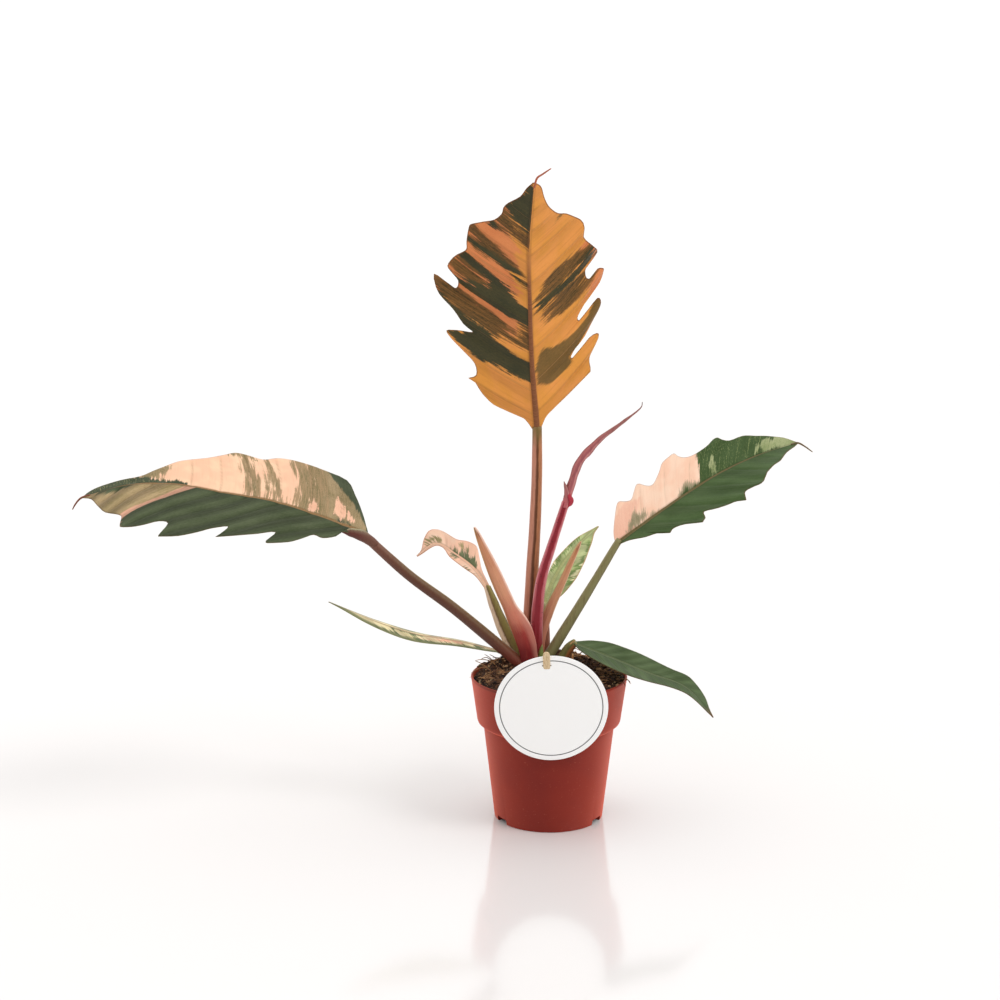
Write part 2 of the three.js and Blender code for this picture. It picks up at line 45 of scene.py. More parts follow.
# Camera, where the photograph was taken from
camera_data = bpy.data.cameras.new("camera")
camera_data.lens = 60.84
camera_data.sensor_width = 36.0
camera_data.clip_start = 0.05
camera = bpy.data.objects.new("camera", camera_data)
camera.location = (-0.0377, -1.256, 0.472)
camera.rotation_euler = (math.radians(79.9), 0.0, 0.0)
bpy.context.scene.collection.objects.link(camera)
bpy.context.scene.camera = camera
bpy.context.scene.view_settings.view_transform = "Standard"


# Shader maths

SHEEN_VEIL = 0.008  # what the studio's reflection adds to a colour
DARKEST = 0.003
LIGHTEST = 0.97
MIX_UNDER, MIX_OVER, MIX_COLOUR = 6, 7, 2  # a Mix node's sockets for colours


def linear(red, green, blue, lit=1.0):
    """The linear colour that looks like an sRGB colour, 0 to 255, in light of strength lit."""
    shares = [channel / 255 for channel in (red, green, blue)]
    seen = [s / 12.92 if s <= 0.04045 else ((s + 0.055) / 1.055) ** 2.4 for s in shares]
    return (*[min(LIGHTEST, max(DARKEST, (s - SHEEN_VEIL) / lit)) for s in seen], 1.0)


def sum_of(operation, swapped=False):
    """An operator that adds a Math node, its values swapped for a wire on the right of the sign."""

    def operator(wire, other):
        first, second = (other, wire) if swapped else (wire, other)
        return wire.paint.node("ShaderNodeMath", {"operation": operation}, {0: first, 1: second})

    return operator


class Wire:
    """An output of a material's node. Arithmetic on it adds Math nodes."""

    def __init__(self, paint, socket):
        self.paint = paint
        self.socket = socket

    __add__ = sum_of("ADD")
    __radd__ = sum_of("ADD", True)
    __sub__ = sum_of("SUBTRACT")
    __rsub__ = sum_of("SUBTRACT", True)
    __mul__ = sum_of("MULTIPLY")
    __rmul__ = sum_of("MULTIPLY", True)
    __truediv__ = sum_of("DIVIDE")
    __rtruediv__ = sum_of("DIVIDE", True)
    __pow__ = sum_of("POWER")

    def __neg__(self):
        return self * -1.0

    def __abs__(self):
        return self.paint.node("ShaderNodeMath", {"operation": "ABSOLUTE"}, {0: self})

    def between(self, low, high):
        """0 below low, 1 above high, smooth between them; low may be above high."""
        settings = {"interpolation_type": "SMOOTHSTEP"}
        flipped = low > high
        bottom, top = (high, low) if flipped else (low, high)
        values = {0: self, 1: bottom, 2: top, 3: 1.0 if flipped else 0.0, 4: 0.0 if flipped else 1.0}
        return self.paint.node("ShaderNodeMapRange", settings, values)


class Paint:
    """A material on the Principled shader."""

    def __init__(self, name, lit=1.0, **fixed):
        """Colours are made for light of strength lit. Fixed are values of the shader's sockets."""
        self.lit = lit
        self.colour = None
        self.material = bpy.data.materials.new(name)
        self.material.use_nodes = True
        self.tree = self.material.node_tree
        self.shader = self.tree.nodes["Principled BSDF"]
        for socket, value in fixed.items():
            self.shader.inputs[socket.replace("_", " ")].default_value = value

    def node(self, kind, settings=None, values=None, output=0):
        made = self.tree.nodes.new(kind)
        for setting, value in (settings or {}).items():
            setattr(made, setting, value)
        for socket, value in (values or {}).items():
            if isinstance(value, Wire):
                self.tree.links.new(value.socket, made.inputs[socket])
            else:
                made.inputs[socket].default_value = value
        return Wire(self, made.outputs[output])

    def feed(self, socket, wire):
        self.tree.links.new(wire.socket, self.shader.inputs[socket])

    def places(self):
        """The piece's own coordinates, in metres."""
        return self.node("ShaderNodeTexCoord", output="Object")

    def unrolled(self):
        return self.node("ShaderNodeUVMap", {"uv_map": "unrolled"})

    def mark(self, name):
        return self.node("ShaderNodeAttribute", {"attribute_name": name}, output="Fac")

    def parts(self, vector):
        split = self.tree.nodes.new("ShaderNodeSeparateXYZ")
        self.tree.links.new(vector.socket, split.inputs[0])
        return [Wire(self, output) for output in split.outputs]

    def cloud(self, vector, scale, detail=3.0, roughness=0.55):
        values = {"Vector": vector, "Scale": scale, "Detail": detail, "Roughness": roughness}
        return self.node("ShaderNodeTexNoise", {}, values)

    def streaks(self, vector, scales, *detail):
        """A cloud drawn out along the axes that have small scales."""
        drawn = self.node("ShaderNodeVectorMath", {"operation": "MULTIPLY"}, {0: vector, 1: scales})
        return self.cloud(drawn, 1.0, *detail)

    def tone(self, colour):
        """An sRGB colour of three numbers as a socket takes it. Wires and four numbers are ready."""
        ready = isinstance(colour, Wire) or len(colour) == 4
        return colour if ready else linear(*colour, self.lit)

    def blend(self, share, under, over, mode="MIX"):
        """The colour under, going over to the colour over where share is 1."""
        settings = {"data_type": "RGBA", "blend_type": mode}
        values = {0: share, MIX_UNDER: self.tone(under), MIX_OVER: self.tone(over)}
        return self.node("ShaderNodeMix", settings, values, MIX_COLOUR)

    def coat(self, share, over, mode="MIX"):
        """Lays a colour over the paint's own where share is 1."""
        self.colour = self.blend(share, self.colour, over, mode)

    def banded(self, place, stops):
        """Gives the paint the stops' colours in turn as place goes through their places."""
        self.colour = self.tone(stops[0][1])
        for before, after in zip(stops, stops[1:]):
            self.coat(place.between(before[0], after[0]), after[1])

    def finished(self, height, distance, strength):
        """The paint with its colour fed in, and with bumps that rise with height."""
        self.feed("Base Color", self.colour)
        values = {"Height": height, "Distance": distance, "Strength": strength}
        self.feed("Normal", self.node("ShaderNodeBump", {}, values))
        return self

    def dress(self, piece):
        piece.data.materials.clear()
        piece.data.materials.append(self.material)


class Sky(Paint):
    """The world's light."""

    def __init__(self, world):
        self.tree = world.node_tree
        self.lamp = self.tree.nodes["Background"]
        self.lamp.inputs["Color"].default_value = (1.0, 0.992, 0.985, 1.0)

    def shine(self, strength):
        self.tree.links.new(strength.socket, self.lamp.inputs["Strength"])


# Curves and skins

JOINED = 0.0005  # points nearer than this become one
HEADING_STEP = 0.0005


class Line:
    """A smooth line through points. Shares of it run as the points do, or by length with at()."""

    STEPS = 240

    def __init__(self, points):
        knots = [Vector(point) for point in points]
        before = knots[0] * 2 - knots[1]
        after = knots[-1] * 2 - knots[-2]
        self.knots = [before, *knots, after]
        self.spans = len(points) - 1
        self.lengths = [0.0]
        last = self.place(0.0)
        for step in range(1, self.STEPS + 1):
            here = self.place(step / self.STEPS)
            self.lengths.append(self.lengths[-1] + (here - last).length)
            last = here
        self.length = self.lengths[-1]

    def place(self, share):
        span = min(int(share * self.spans), self.spans - 1)
        t = share * self.spans - span
        a, b, c, d = self.knots[span:span + 4]
        cubic = (b - c) * 3 + d - a
        square = a * 2 - b * 5 + c * 4 - d
        return (b * 2 + (c - a) * t + square * t**2 + cubic * t**3) / 2

    def heading(self, share):
        low = max(0.0, share - HEADING_STEP)
        high = min(1.0, share + HEADING_STEP)
        return (self.place(high) - self.place(low)).normalized()

    def at(self, share):
        """The share of the points' run at a share of the length."""
        goal = share * self.length
        for step in range(1, self.STEPS + 1):
            if self.lengths[step] >= goal:
                below = self.lengths[step - 1]
                part = (goal - below) / max(1e-9, self.lengths[step] - below)
                return (step - 1 + part) / self.STEPS
        return 1.0


def through(values, share):
    """The value at a share of the way through a list, smooth between its entries."""
    spot = min(max(share, 0.0), 1.0) * (len(values) - 1)
    before = min(int(spot), len(values) - 2)
    part = spot - before
    part = part * part * (3 - 2 * part)
    return values[before] * (1 - part) + values[before + 1] * part


def shaped(name, sheet, smooth=True):
    """The finished bmesh as an object, in metres."""
    mesh = bpy.data.meshes.new(name)
    bmesh.ops.scale(sheet, vec=(MM, MM, MM), verts=sheet.verts)
    sheet.to_mesh(mesh)
    sheet.free()
    for face in mesh.polygons:
        face.use_smooth = smooth
    piece = bpy.data.objects.new(name, mesh)
    bpy.context.scene.collection.objects.link(piece)
    return piece


def stored(name, sheet, paint, replaced=(), smooth=True):
    """The finished bmesh as a painted piece that rides on the frame."""
    piece = shaped(name, sheet, smooth)
    paint.dress(piece)
    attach(piece, "root")
    if replaced:
        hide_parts(*replaced)
    return piece


def layer(sheet, name):
    """The sheet's layer of numbers with this name, new if it has none yet."""
    floats = sheet.verts.layers.float
    return floats.get(name) or floats.new(name)


def skin(sheet, columns, rows, place, marks=()):
    """Adds a grid rolled into a closed skin. place(column, row) gives its point, its UV and its marks."""
    layers = {name: layer(sheet, name) for name in marks}
    unrolled = sheet.loops.layers.uv.get("unrolled") or sheet.loops.layers.uv.new("unrolled")
    made = bmesh.ops.create_grid(sheet, x_segments=columns, y_segments=rows, size=0.5)["verts"]
    flat = {}
    for vert in made:
        column = round((vert.co.x + 0.5) * columns)
        row = round((vert.co.y + 0.5) * rows)
        point, spot, values = place(column, row)
        vert.co = point
        flat[vert] = spot
        for name in marks:
            vert[layers[name]] = values.get(name, 0.0)
    faces = {face for vert in made for face in vert.link_faces}
    for face in faces:
        for loop in face.loops:
            loop[unrolled].uv = flat[loop.vert]
    bmesh.ops.remove_doubles(sheet, verts=made, dist=JOINED)


def outward(sheet):
    bmesh.ops.recalc_face_normals(sheet, faces=sheet.faces)


def closed(sheet):
    rim = [edge for edge in sheet.edges if edge.is_boundary]
    bmesh.ops.holes_fill(sheet, edges=rim)
    outward(sheet)


def skin_piece(name, paint, slot, replaced, *grid):
    """A piece of one skin. The grid is what skin takes after its sheet."""
    sheet = bmesh.new()
    skin(sheet, *grid)
    outward(sheet)
    return stored(name, sheet, paint, replaced)


# Leaf blades

BLADE_HALF = 0.32  # half of a blade's thickness
RIM_ROUNDING = 0.9
SIGNS = (1, -1)
NEAR_RIB = [0.0, 0.22, 0.45, 0.7, 1.0]
FAR_RIB = [0.1, 0.2, 0.3, 0.4, 0.5, 0.6, 0.7, 0.8, 0.89, 0.96, 0.99, 1.0]
HALF_STEPS = len(NEAR_RIB) + len(FAR_RIB) - 1
RIB_ZONE = 3.6  # how far out the steps of NEAR_RIB reach
ROW_GAP = 1.6
ROW_LEAST = 0.14
CREASE_WIDTH = 2.6
GROOVE_DEPTH = 0.35
GROOVE_WIDTH = 1.3
CREASE_START = 4  # out from the midrib, and before the edge, where a crease has its full depth
CREASE_END = 10
WAVE_REACH = 40
FAR_FROM_VEINS = 30.0
DEEPEST = 12.0
OUTLINE_PARTS = 3
LAYERS = ("blush", "olive", "mixed", "dark", "cream")  # markings, in the order they are painted in


def rounded(outline):
    """The outline with points set between its own, smooth but at its corners, which have a third number."""
    pieces = [[]]
    for along, out, *corner in outline:
        pieces[-1].append((along, out, 0.0))
        if corner:
            pieces.append([(along, out, 0.0)])
    points = []
    for piece in pieces:
        line = Line(piece)
        steps = line.spans * OUTLINE_PARTS
        points.extend(line.place(step / steps).to_tuple()[:2] for step in range(steps))
    return [*points, outline[-1]]


def vein_feet(outline, vein):
    """Where the side vein to each outline point leaves the midrib, each one further on than the last."""
    slope, bend = vein
    feet = []
    last = -ROW_LEAST
    for along, out in outline:
        natural = along - slope * out - bend * out * out
        last = max(last + ROW_LEAST, natural)
        feet.append((last, along, max(out, 0.3)))
    return feet


def edge_at(feet, foot):
    """The outline point whose side vein leaves the midrib at foot."""
    if foot <= feet[0][0]:
        return feet[0][1], feet[0][2]
    for before, after in zip(feet, feet[1:]):
        if after[0] >= foot:
            share = (foot - before[0]) / (after[0] - before[0])
            return tuple(before[i] + (after[i] - before[i]) * share for i in (1, 2))
    return feet[-1][1], feet[-1][2]


def row_feet(sides):
    """Rows where either side has an outline point, and between them where they lie far apart."""
    rows = [0.0]
    for foot in sorted(end[0] for side in sides for end in side):
        last = rows[-1]
        if foot - last < ROW_LEAST * 0.9:
            continue
        parts = math.ceil((foot - last) / ROW_GAP)
        rows.extend(last + (foot - last) * (i + 1) / parts for i in range(parts))
    return rows


def depth_in(shapes, out, along):
    """How far a point lies inside the nearest of some closed shapes, less than 0 outside."""
    inside = False
    nearest = 1e9
    for shape in shapes:
        for i, (x1, y1) in enumerate(shape):
            x0, y0 = shape[i - 1]
            if (y0 > along) != (y1 > along) and out < (x1 - x0) * (along - y0) / (y1 - y0) + x0:
                inside = not inside
            dx, dy = x1 - x0, y1 - y0
            t = ((out - x0) * dx + (along - y0) * dy) / max(1e-9, dx * dx + dy * dy)
            t = min(1.0, max(0.0, t))
            nearest = min(nearest, math.hypot(out - x0 - t * dx, along - y0 - t * dy))
    return nearest if inside else -nearest


class Blade:
    """A leaf's blade: its midrib, the way that it faces, its outline and the markings on it."""

    OUT_SHARE = 0.35  # markings are ragged along the veins, so distances along them count less
    PAST_MIDRIB = -40

    def __init__(self, midrib, face, folds, veins, outlines, **looks):
        self.line = Line(midrib)
        self.face = [Vector(face[0]), Vector(face[1])]
        self.folds = [math.radians(fold) for fold in folds]
        self.veins = veins
        self.feet = [vein_feet(rounded(outlines[i]), veins[i]) for i in (0, 1)]
        self.rows = row_feet(self.feet)
        self.rib = looks.get("rib", (1.2, 3.0))
        self.skews = looks.get("skews", (0.0, 0.0))
        self.ribs = looks.get("side_ribs", ((), ()))
        self.quilt = looks.get("quilt", 0.5)
        # How strong the painted highlight and painted shade over the relief are, on each side
        self.swells = looks.get("swells", (1.0, 1.0))
        self.wave = looks.get("wave", (0.0, 30.0))
        self.markings = {name: looks[name] for name in looks if name in LAYERS}
        self.half = looks.get("half", [BLADE_HALF, BLADE_HALF])
        self.shapes = {}
        for name, sides in self.markings.items():
            for side, shapes in enumerate(sides):
                flat = [[self.flat_spot(side, x, y) for x, y in shape] for shape in shapes]
                self.shapes[name, side] = flat

    def flat_spot(self, side, out, foot):
        """A marking's point in the space that depths are measured in. At -1 it lies well past the midrib."""
        reach = out if out > -1 else self.PAST_MIDRIB
        return reach * self.OUT_SHARE, foot - self.skews[side] * max(out, 0)

    def bent(self, side, along, out, lift):
        """A point of the flat leaf on the bent one, lifted over its upper side."""
        share = min(max(along / self.line.length, 0.0), 1.0)
        heading = self.line.heading(share)
        across = self.face[0].lerp(self.face[1], share).cross(heading).normalized()
        up = heading.cross(across)
        fold = self.folds[side]
        tilt = fold if out > 0 else 0.0
        sideways = out * math.cos(fold) - lift * math.sin(tilt)
        upwards = out * math.sin(fold) + lift * math.cos(tilt)
        place = self.line.place(share) + heading * (along - share * self.line.length)
        return place + across * (SIGNS[side] * sideways) + up * upwards

    def rib_width(self, share):
        return self.rib[1] * (1 - 0.75 * share)

    def marks(self):
        return ["rib", "vein", "relief_shading", "margin", "under", "length_share", *self.markings]

    def spot(self, step, side, row):
        """The flat place of a grid point, its relief and its marks."""
        foot = self.rows[row]
        slope, bend = self.veins[side]
        end_along, end_out = edge_at(self.feet[side], foot)
        near = min(RIB_ZONE, 0.4 * end_out)
        if step < len(NEAR_RIB):
            out = near * NEAR_RIB[step]
        else:
            out = near + (end_out - near) * FAR_RIB[step - len(NEAR_RIB)]
        run = slope * out + bend * out * out
        whole = slope * end_out + bend * end_out * end_out
        along = foot + (end_along - foot) * run / max(1e-6, whole)
        share = min(max(foot / self.line.length, 0.0), 1.0)
        vein_place = along - run - self.skews[side] * out
        gap = min((abs(vein_place - rib) for rib in self.ribs[side]), default=FAR_FROM_VEINS)
        crease = math.exp(-((gap / CREASE_WIDTH) ** 2)) * min(1.0, out / CREASE_START)
        crease *= min(1.0, (end_out - out) / CREASE_END)
        size, period = self.wave
        wave = size * (out / WAVE_REACH) ** 2 * math.sin(vein_place * 2 * math.pi / period + side)
        relief = wave - self.quilt * crease
        values = {
            "rib": out - self.rib_width(share),
            "vein": gap,
            "relief_shading": self.relief_shading(side, vein_place),
            "margin": end_out - out,
            "length_share": share,
        }
        for name in self.markings:
            shapes = self.shapes[name, side]
            depth = depth_in(shapes, out * self.OUT_SHARE, vein_place) if shapes else -DEEPEST
            values[name] = min(DEEPEST, max(-DEEPEST, depth))
        uv = (vein_place / UV_UNIT, SIGNS[side] * out / UV_UNIT)
        return along, out, end_out, share, relief, values, uv

    def relief_shading(self, side, vein_place):
        """Above 0 on the tip's side of a side rib and below 0 on the other. It places the painted highlight
        and painted shade that the leaf paint lays over the relief.
        """
        ribs = self.ribs[side]
        if not ribs:
            return 0.0
        ribs = [2 * ribs[0] - ribs[1], *ribs, 2 * ribs[-1] - ribs[-2]]
        for before, after in zip(ribs, ribs[1:]):
            if before <= vein_place < after:
                swell = math.sin((vein_place - before) / (after - before) * 2 * math.pi)
                return swell * self.swells[side]
        return 0.0

    def build(self, sheet):
        """Adds the blade as a skin of four quarters: over its two sides, and back under them."""
        spots = {}

        def place(column, row):
            quarter, part = divmod(column, HALF_STEPS)
            upper = quarter in (0, 1)
            if quarter == 4:
                quarter, part = 0, 0
                upper = True
            side = 1 if quarter in (0, 3) else 0
            step = HALF_STEPS - part if quarter in (0, 2) else part
            key = (step, side, row)
            if key not in spots:
                spots[key] = self.spot(step, side, row)
            along, out, end_out, share, relief, values, uv = spots[key]
            rim = min(1.0, (end_out - out) / RIM_ROUNDING)
            half = through(self.half, share) * math.sqrt(max(0.0, 1 - (1 - rim) ** 2))
            if upper:
                groove = GROOVE_DEPTH * math.exp(-((out / GROOVE_WIDTH) ** 2)) * (1 - share)
                lift = half - groove
            else:
                swell = max(0.0, 1 - (out / self.rib_width(share)) ** 2) ** 0.5
                lift = -half - self.rib[0] * (1 - 0.8 * share) * swell
            if step == HALF_STEPS:
                lift = 0.0
            point = self.bent(side, along, out, lift + relief)
            return point, uv, {**values, "under": 0.0 if upper else 1.0}

        skin(sheet, 4 * HALF_STEPS, len(self.rows) - 1, place, self.marks())

    def piece(self, name, paint, slot, replaced):
        sheet = bmesh.new()
        self.build(sheet)
        closed(sheet)
        stored(name, sheet, paint, replaced)


def both(side):
    """The same for a blade's two sides, or its two ends."""
    return (side, side)


# Round stalks

FRONT = Vector((0.0, -1.0, 0.0))


def grooved(radii, depth=0.0, at=0.0, width=0.07):
    """A stalk's radius: through the list, with a channel along it."""

    def radius(share, turn):
        channel = depth * math.exp(-(((turn - at) / width) ** 2))
        return through(radii, share) * (1 - channel)

    return radius


def stalk(sheet, points, radius, sides=24, step=2.0):
    """Adds a stalk along points, pointed at its ends. radius(share, turn) is its radius, turn running from
    -0.5 to 0.5 round it and 0 at its front."""
    line = Line(points)
    rows = max(6, round(line.length / step))

    def place(column, row):
        share = row / rows
        spot = line.at(share)
        heading = line.heading(spot)
        face = (FRONT - heading * FRONT.dot(heading)).normalized()
        side = face.cross(heading)
        turn = column / sides - 0.5
        angle = turn * 2 * math.pi
        reach = radius(share, turn) if 0 < row < rows else 0.0
        point = line.place(spot) + face * (math.cos(angle) * reach) + side * (math.sin(angle) * reach)
        return point, (turn, share * line.length / UV_UNIT), {"along": share}

    skin(sheet, sides, rows, place, ["along"])


def round_piece(name, slot, replaced, *strands, paint=None):
    """A piece of one or more stalks. A strand is what stalk takes after its sheet."""
    sheet = bmesh.new()
    for strand in strands:
        stalk(sheet, *strand)
    closed(sheet)
    stored(name, sheet, STALK_PAINTS[paint or name], replaced)


# The leaves: midrib, facings, folds, veins, and outlines of (along, out). Markings are closed shapes of
# (out, foot of the vein). Of two sides the first is left of the midrib, from above with the tip ahead.
BLADES = {}
BLADES["tall"] = Blade(
    [(-10, -6, 302), (-14, -14, 349), (-16, -24, 395), (-17, -38, 440), (-14, -58, 483)],
    [(0, 1, 0.15), (0, 1, 0.4)], (30, 8), ((0.55, 0.0036), (0.6, 0.001)),
    ([
        (0, 3), (5, 6), (9, 9), (14, 16), (22, 29), (28, 38), (33, 43), (35, 50), (45, 51), (53, 54),
        (64, 58), (62, 51), (51, 41), (49, 34), (56, 39), (64, 48), (78, 57), (87, 60), (91, 58), (82, 49),
        (77, 43), (79, 41), (87, 47), (96, 56), (101, 62), (107, 65), (112, 63), (113, 58), (108, 54),
        (107, 49), (115, 50), (124, 60), (130, 55), (139, 47), (151, 45), (156, 39), (161, 30), (162, 24),
        (164.5, 19.6), (170, 13.8), (177.5, 9.6), (184, 7.2), (187, 5.2), (189, 2.3), (190, 0.7),
    ], [
        (0, 3), (7, 7), (12, 12), (18, 23), (21, 31), (30, 39), (40, 44), (42, 48), (44, 42), (52, 43),
        (61, 51), (70, 59), (77, 62), (77, 54), (75, 43), (81, 50), (92, 57), (105, 66), (118, 70),
        (111, 60), (108, 54), (114, 52), (120, 56), (125, 59), (130, 55), (134, 48), (137, 45), (142, 45),
        (150, 44), (153, 42), (156, 34), (158, 26), (163, 21), (168, 20), (172, 17), (178, 9), (185, 5),
        (190, 0.7),
    ]),
    rib=(1.7, 2.0), side_ribs=((14, 37, 62, 88, 112, 133, 152, 168), (12, 30, 52, 82, 108, 128, 146, 162)),
    quilt=0.9, wave=(1.0, 24.0),
    dark=([
        [(1, 94), (8, 88), (24, 85), (38, 81), (62, 77.5), (54, 91), (38, 90), (22, 91.5), (10, 91)],
    ], [
        [(-1, 50), (-1, 37), (20, 34), (33, 33), (36, 30), (50, 32), (62, 37), (50, 46), (60, 53),
         (72, 66), (62, 63), (50, 57), (40, 59), (28, 57), (26, 54), (12, 51)],
        [(-1, 79), (12, 78.5), (50, 77), (61, 85), (52, 84), (30, 92), (33, 98), (50, 99), (47, 105),
         (35, 104), (20, 102), (10, 98), (8, 92), (-1, 88)],
        [(3, 108), (20, 113), (45, 114.5), (46, 117), (22, 118), (9, 117)],
        [(-1, 188), (-1, 150), (8, 151), (14, 155), (22, 159), (14, 171), (6, 187)],
        [(20, 137), (30, 135.5), (31, 140), (26, 141)],
    ]),
    mixed=([
        [(9, 87), (12, 77), (20, 71), (30, 68), (45, 66), (54, 68), (50, 76), (40, 81), (25, 85)],
        [(3, 95), (10, 100), (20, 104), (30, 102), (40, 99), (50, 95), (54, 90), (30, 91), (8, 91)],
    ], [
        [(-1, 78), (-1, 54), (4, 61), (22, 59), (27, 56), (40, 58), (60, 56), (74, 68), (66, 74), (45, 73),
         (25, 73), (12, 66), (7, 71), (6, 78)],
        [(30, 90), (45, 84), (58, 86), (56, 93), (47, 104), (33, 98)],
        [(-1, 106), (10, 109), (20, 112), (47, 114), (46, 124), (41, 128), (25, 125), (14, 121), (8, 118),
         (3, 113)],
        [(-1, 152), (-1, 140), (12, 138), (28, 138), (30, 146), (20, 156), (8, 152)],
    ]),
    olive=([
        [(2, 44), (8, 57), (13, 54), (20, 48), (35, 44), (48, 44), (57, 49), (62, 42), (56, 35), (42, 29),
         (33, 28), (34, 22), (20, 23), (12, 25), (4, 33)],
        [(20, 143), (27, 143.5), (28, 146), (22, 146)],
    ], []),
    blush=([
        [(44, 58), (56, 70), (50, 80), (40, 92), (44, 100), (60, 100), (80, 70), (60, 52)],
    ], [
        [(8, 62), (8, 130), (14, 160), (60, 160), (84, 90), (76, 62)],
    ]),
)
BLADES["left"] = Blade(
    [(-137, -14, 225), (-171, -17, 239), (-206, -20, 251), (-241, -24, 258), (-276, -28, 265),
     (-311, -31, 265), (-345, -34, 256)],
    both((0, -0.35, 0.94)), both(-2.5), ((0.5, 0.002), (0.45, 0.002)),
    ([
        (0, 3), (8, 6), (19, 10), (22, 18), (31, 26), (38, 26), (45, 35), (54, 45), (69, 54), (71, 52, 1),
        (65, 38), (79, 46), (93, 52), (109, 58.5, 1), (106, 53), (102, 43), (113, 49), (122, 57),
        (135, 66), (148, 69), (150, 67), (145, 52), (152, 50), (163, 55), (173, 57), (184, 55), (185, 50),
        (184, 42), (187, 38), (198, 30), (204, 18), (209, 6), (216, 0.7),
    ], [
        (0, 3), (3, 13), (6, 23), (11, 37), (16, 49), (25, 67), (44, 70), (58, 71), (68, 71), (76, 69),
        (85, 63), (98, 67), (107, 67), (115, 60), (126, 50), (135, 44), (147, 37), (156, 28), (164, 20),
        (173, 12), (190, 10), (204, 9), (211, 6), (216, 0.7),
    ]),
    rib=(1.3, 1.5), skews=(0.6, -0.45),
    side_ribs=((-2, 18, 42, 66, 90, 111, 135, 160, 184), (22, 45, 68, 90, 112, 134, 156, 178)),
    swells=(1.0, 0.15), quilt=1.2, wave=(0.0, 23.0),
    dark=([
        [(-1, -14), (-1, 129), (20, 141), (38, 155), (47, 158.5), (60, 152), (90, 100), (90, -14)],
        [(-1, 204), (2, 204), (6, 192), (5, 182), (1, 176), (-1, 176)],
    ], [
        [(-1, 230), (-1, 135), (5, 134), (7, 141), (5, 148), (7, 158), (9, 166), (15, 172), (30, 174),
         (30, 230)],
        [(-1, -50), (90, -50), (90, 0), (66, -0.5), (44, -2), (20, -2.2), (8, -2), (-1, -5)],
        [(2, 13), (8, 12), (11, 20), (8, 26), (3, 24)],
    ]),
    olive=([
        [(-1, 138), (20, 149), (34, 160), (44, 165), (50, 190), (6, 230), (-1, 230)],
    ], [
        [(-1, 38), (20, 36), (40, 26), (60, 18), (72, 12), (90, 0), (90, -50), (-1, -50)],
        [(14, 150), (18, 144), (28, 137), (30, 140), (22, 150)],
        [(60, 56), (63, 78), (70, 70), (70, 54)],
        [(5, 150), (14, 152), (30, 146), (30, 176), (14, 174), (7, 160)],
    ]),
    mixed=([], [
        [(-1, 56), (12, 52), (24, 46), (40, 38), (60, 32), (74, 24), (78, 0), (60, 6), (40, 16), (20, 24),
         (-1, 28)],
        [(1, 94), (10, 91), (25, 82), (45, 76), (60, 68), (64, 58), (50, 62), (30, 70), (15, 78), (1, 82)],
        [(1, 79), (10, 72), (35, 62), (60, 50), (64, 45), (40, 52), (20, 60), (1, 62)],
    ]),
    blush=([
        [(-1, 126), (20, 138), (38, 152), (60, 156), (48, 180), (36, 174), (20, 162), (-1, 148)],
    ], []),
    cream=([], [
        [(8, 22), (14, 22), (25, 16), (38, 9), (24, 8), (9, 8)],
        [(3, 46), (12, 42), (22, 34), (10, 35), (3, 38)],
    ]),
)
BLADES["right"] = Blade(
    [(52, 10, 213), (79, 23, 230), (106, 36, 246), (135, 50, 261), (166, 62, 273), (199, 75, 281)],
    both((0.106, -0.236, 0.966)), both(9), ((0.5, 0.002), (0.5, 0.003)),
    ([
        (0, 3), (3, 8), (8, 14), (22, 28), (28, 32), (32, 29), (37, 27), (44, 32), (51, 36), (55, 30),
        (60, 27), (72, 34), (80, 40), (90, 43), (93, 42), (93, 37), (96, 33), (104, 31), (114, 33),
        (123, 38), (127, 38), (128, 33), (132, 29), (144, 28), (161, 18), (170, 11), (176, 0.7),
    ], [
        (0, 3), (8, 7), (17, 16), (25, 21), (31, 30.5, 1), (36, 29), (44, 34), (53, 46, 1), (59, 41),
        (63, 35), (72, 42), (84, 45), (91, 52, 1), (99, 42), (107, 44), (114, 47), (121, 41), (125, 38),
        (132, 31), (147, 23), (159, 12), (169, 6), (176, 0.7),
    ]),
    rib=(1.1, 1.7), skews=(0.2, 0.05),
    side_ribs=((26, 51, 76, 101, 126, 148), (28, 53, 84, 112, 138, 158)), swells=(0.2, 1.0), quilt=0.6,
    wave=(0.6, 20.0),
    dark=([
        [(-1, 88), (12, 87), (20, 87.5), (34, 87), (60, 86), (60, 130), (30, 190), (-1, 190)],
        [(-1, 86), (-1, 66), (2.2, 67), (4, 74), (2, 86)],
    ], [
        [(-1, -14), (-1, 190), (30, 190), (70, 70), (70, -14)],
    ]),
    blush=([
        [(-1, -4), (-1, 10), (12, 24), (22, 30), (28, 14), (16, -4)],
    ], []),
    olive=([
        [(-1, 63), (4, 64), (10, 76), (6, 83), (4, 87), (-1, 87)],
        [(3, 32), (10, 32), (12, 26), (16, 20), (10, 17), (4, 9), (1, 14), (2, 24)],
        [(1, 43), (3, 43), (4, 36), (1, 34)],
    ], []),
    cream=([
        [(2, 98), (10, 100), (20, 99), (21, 101), (10, 103), (2, 102)],
        [(10, 97), (16, 96), (17, 99), (10, 99)],
        [(1, 145), (12, 144), (18, 148), (12, 154), (20, 160), (14, 176), (-1, 184), (1, 160)],
        [(3, 137), (10, 140), (9, 143), (4, 140)],
    ], []),
)
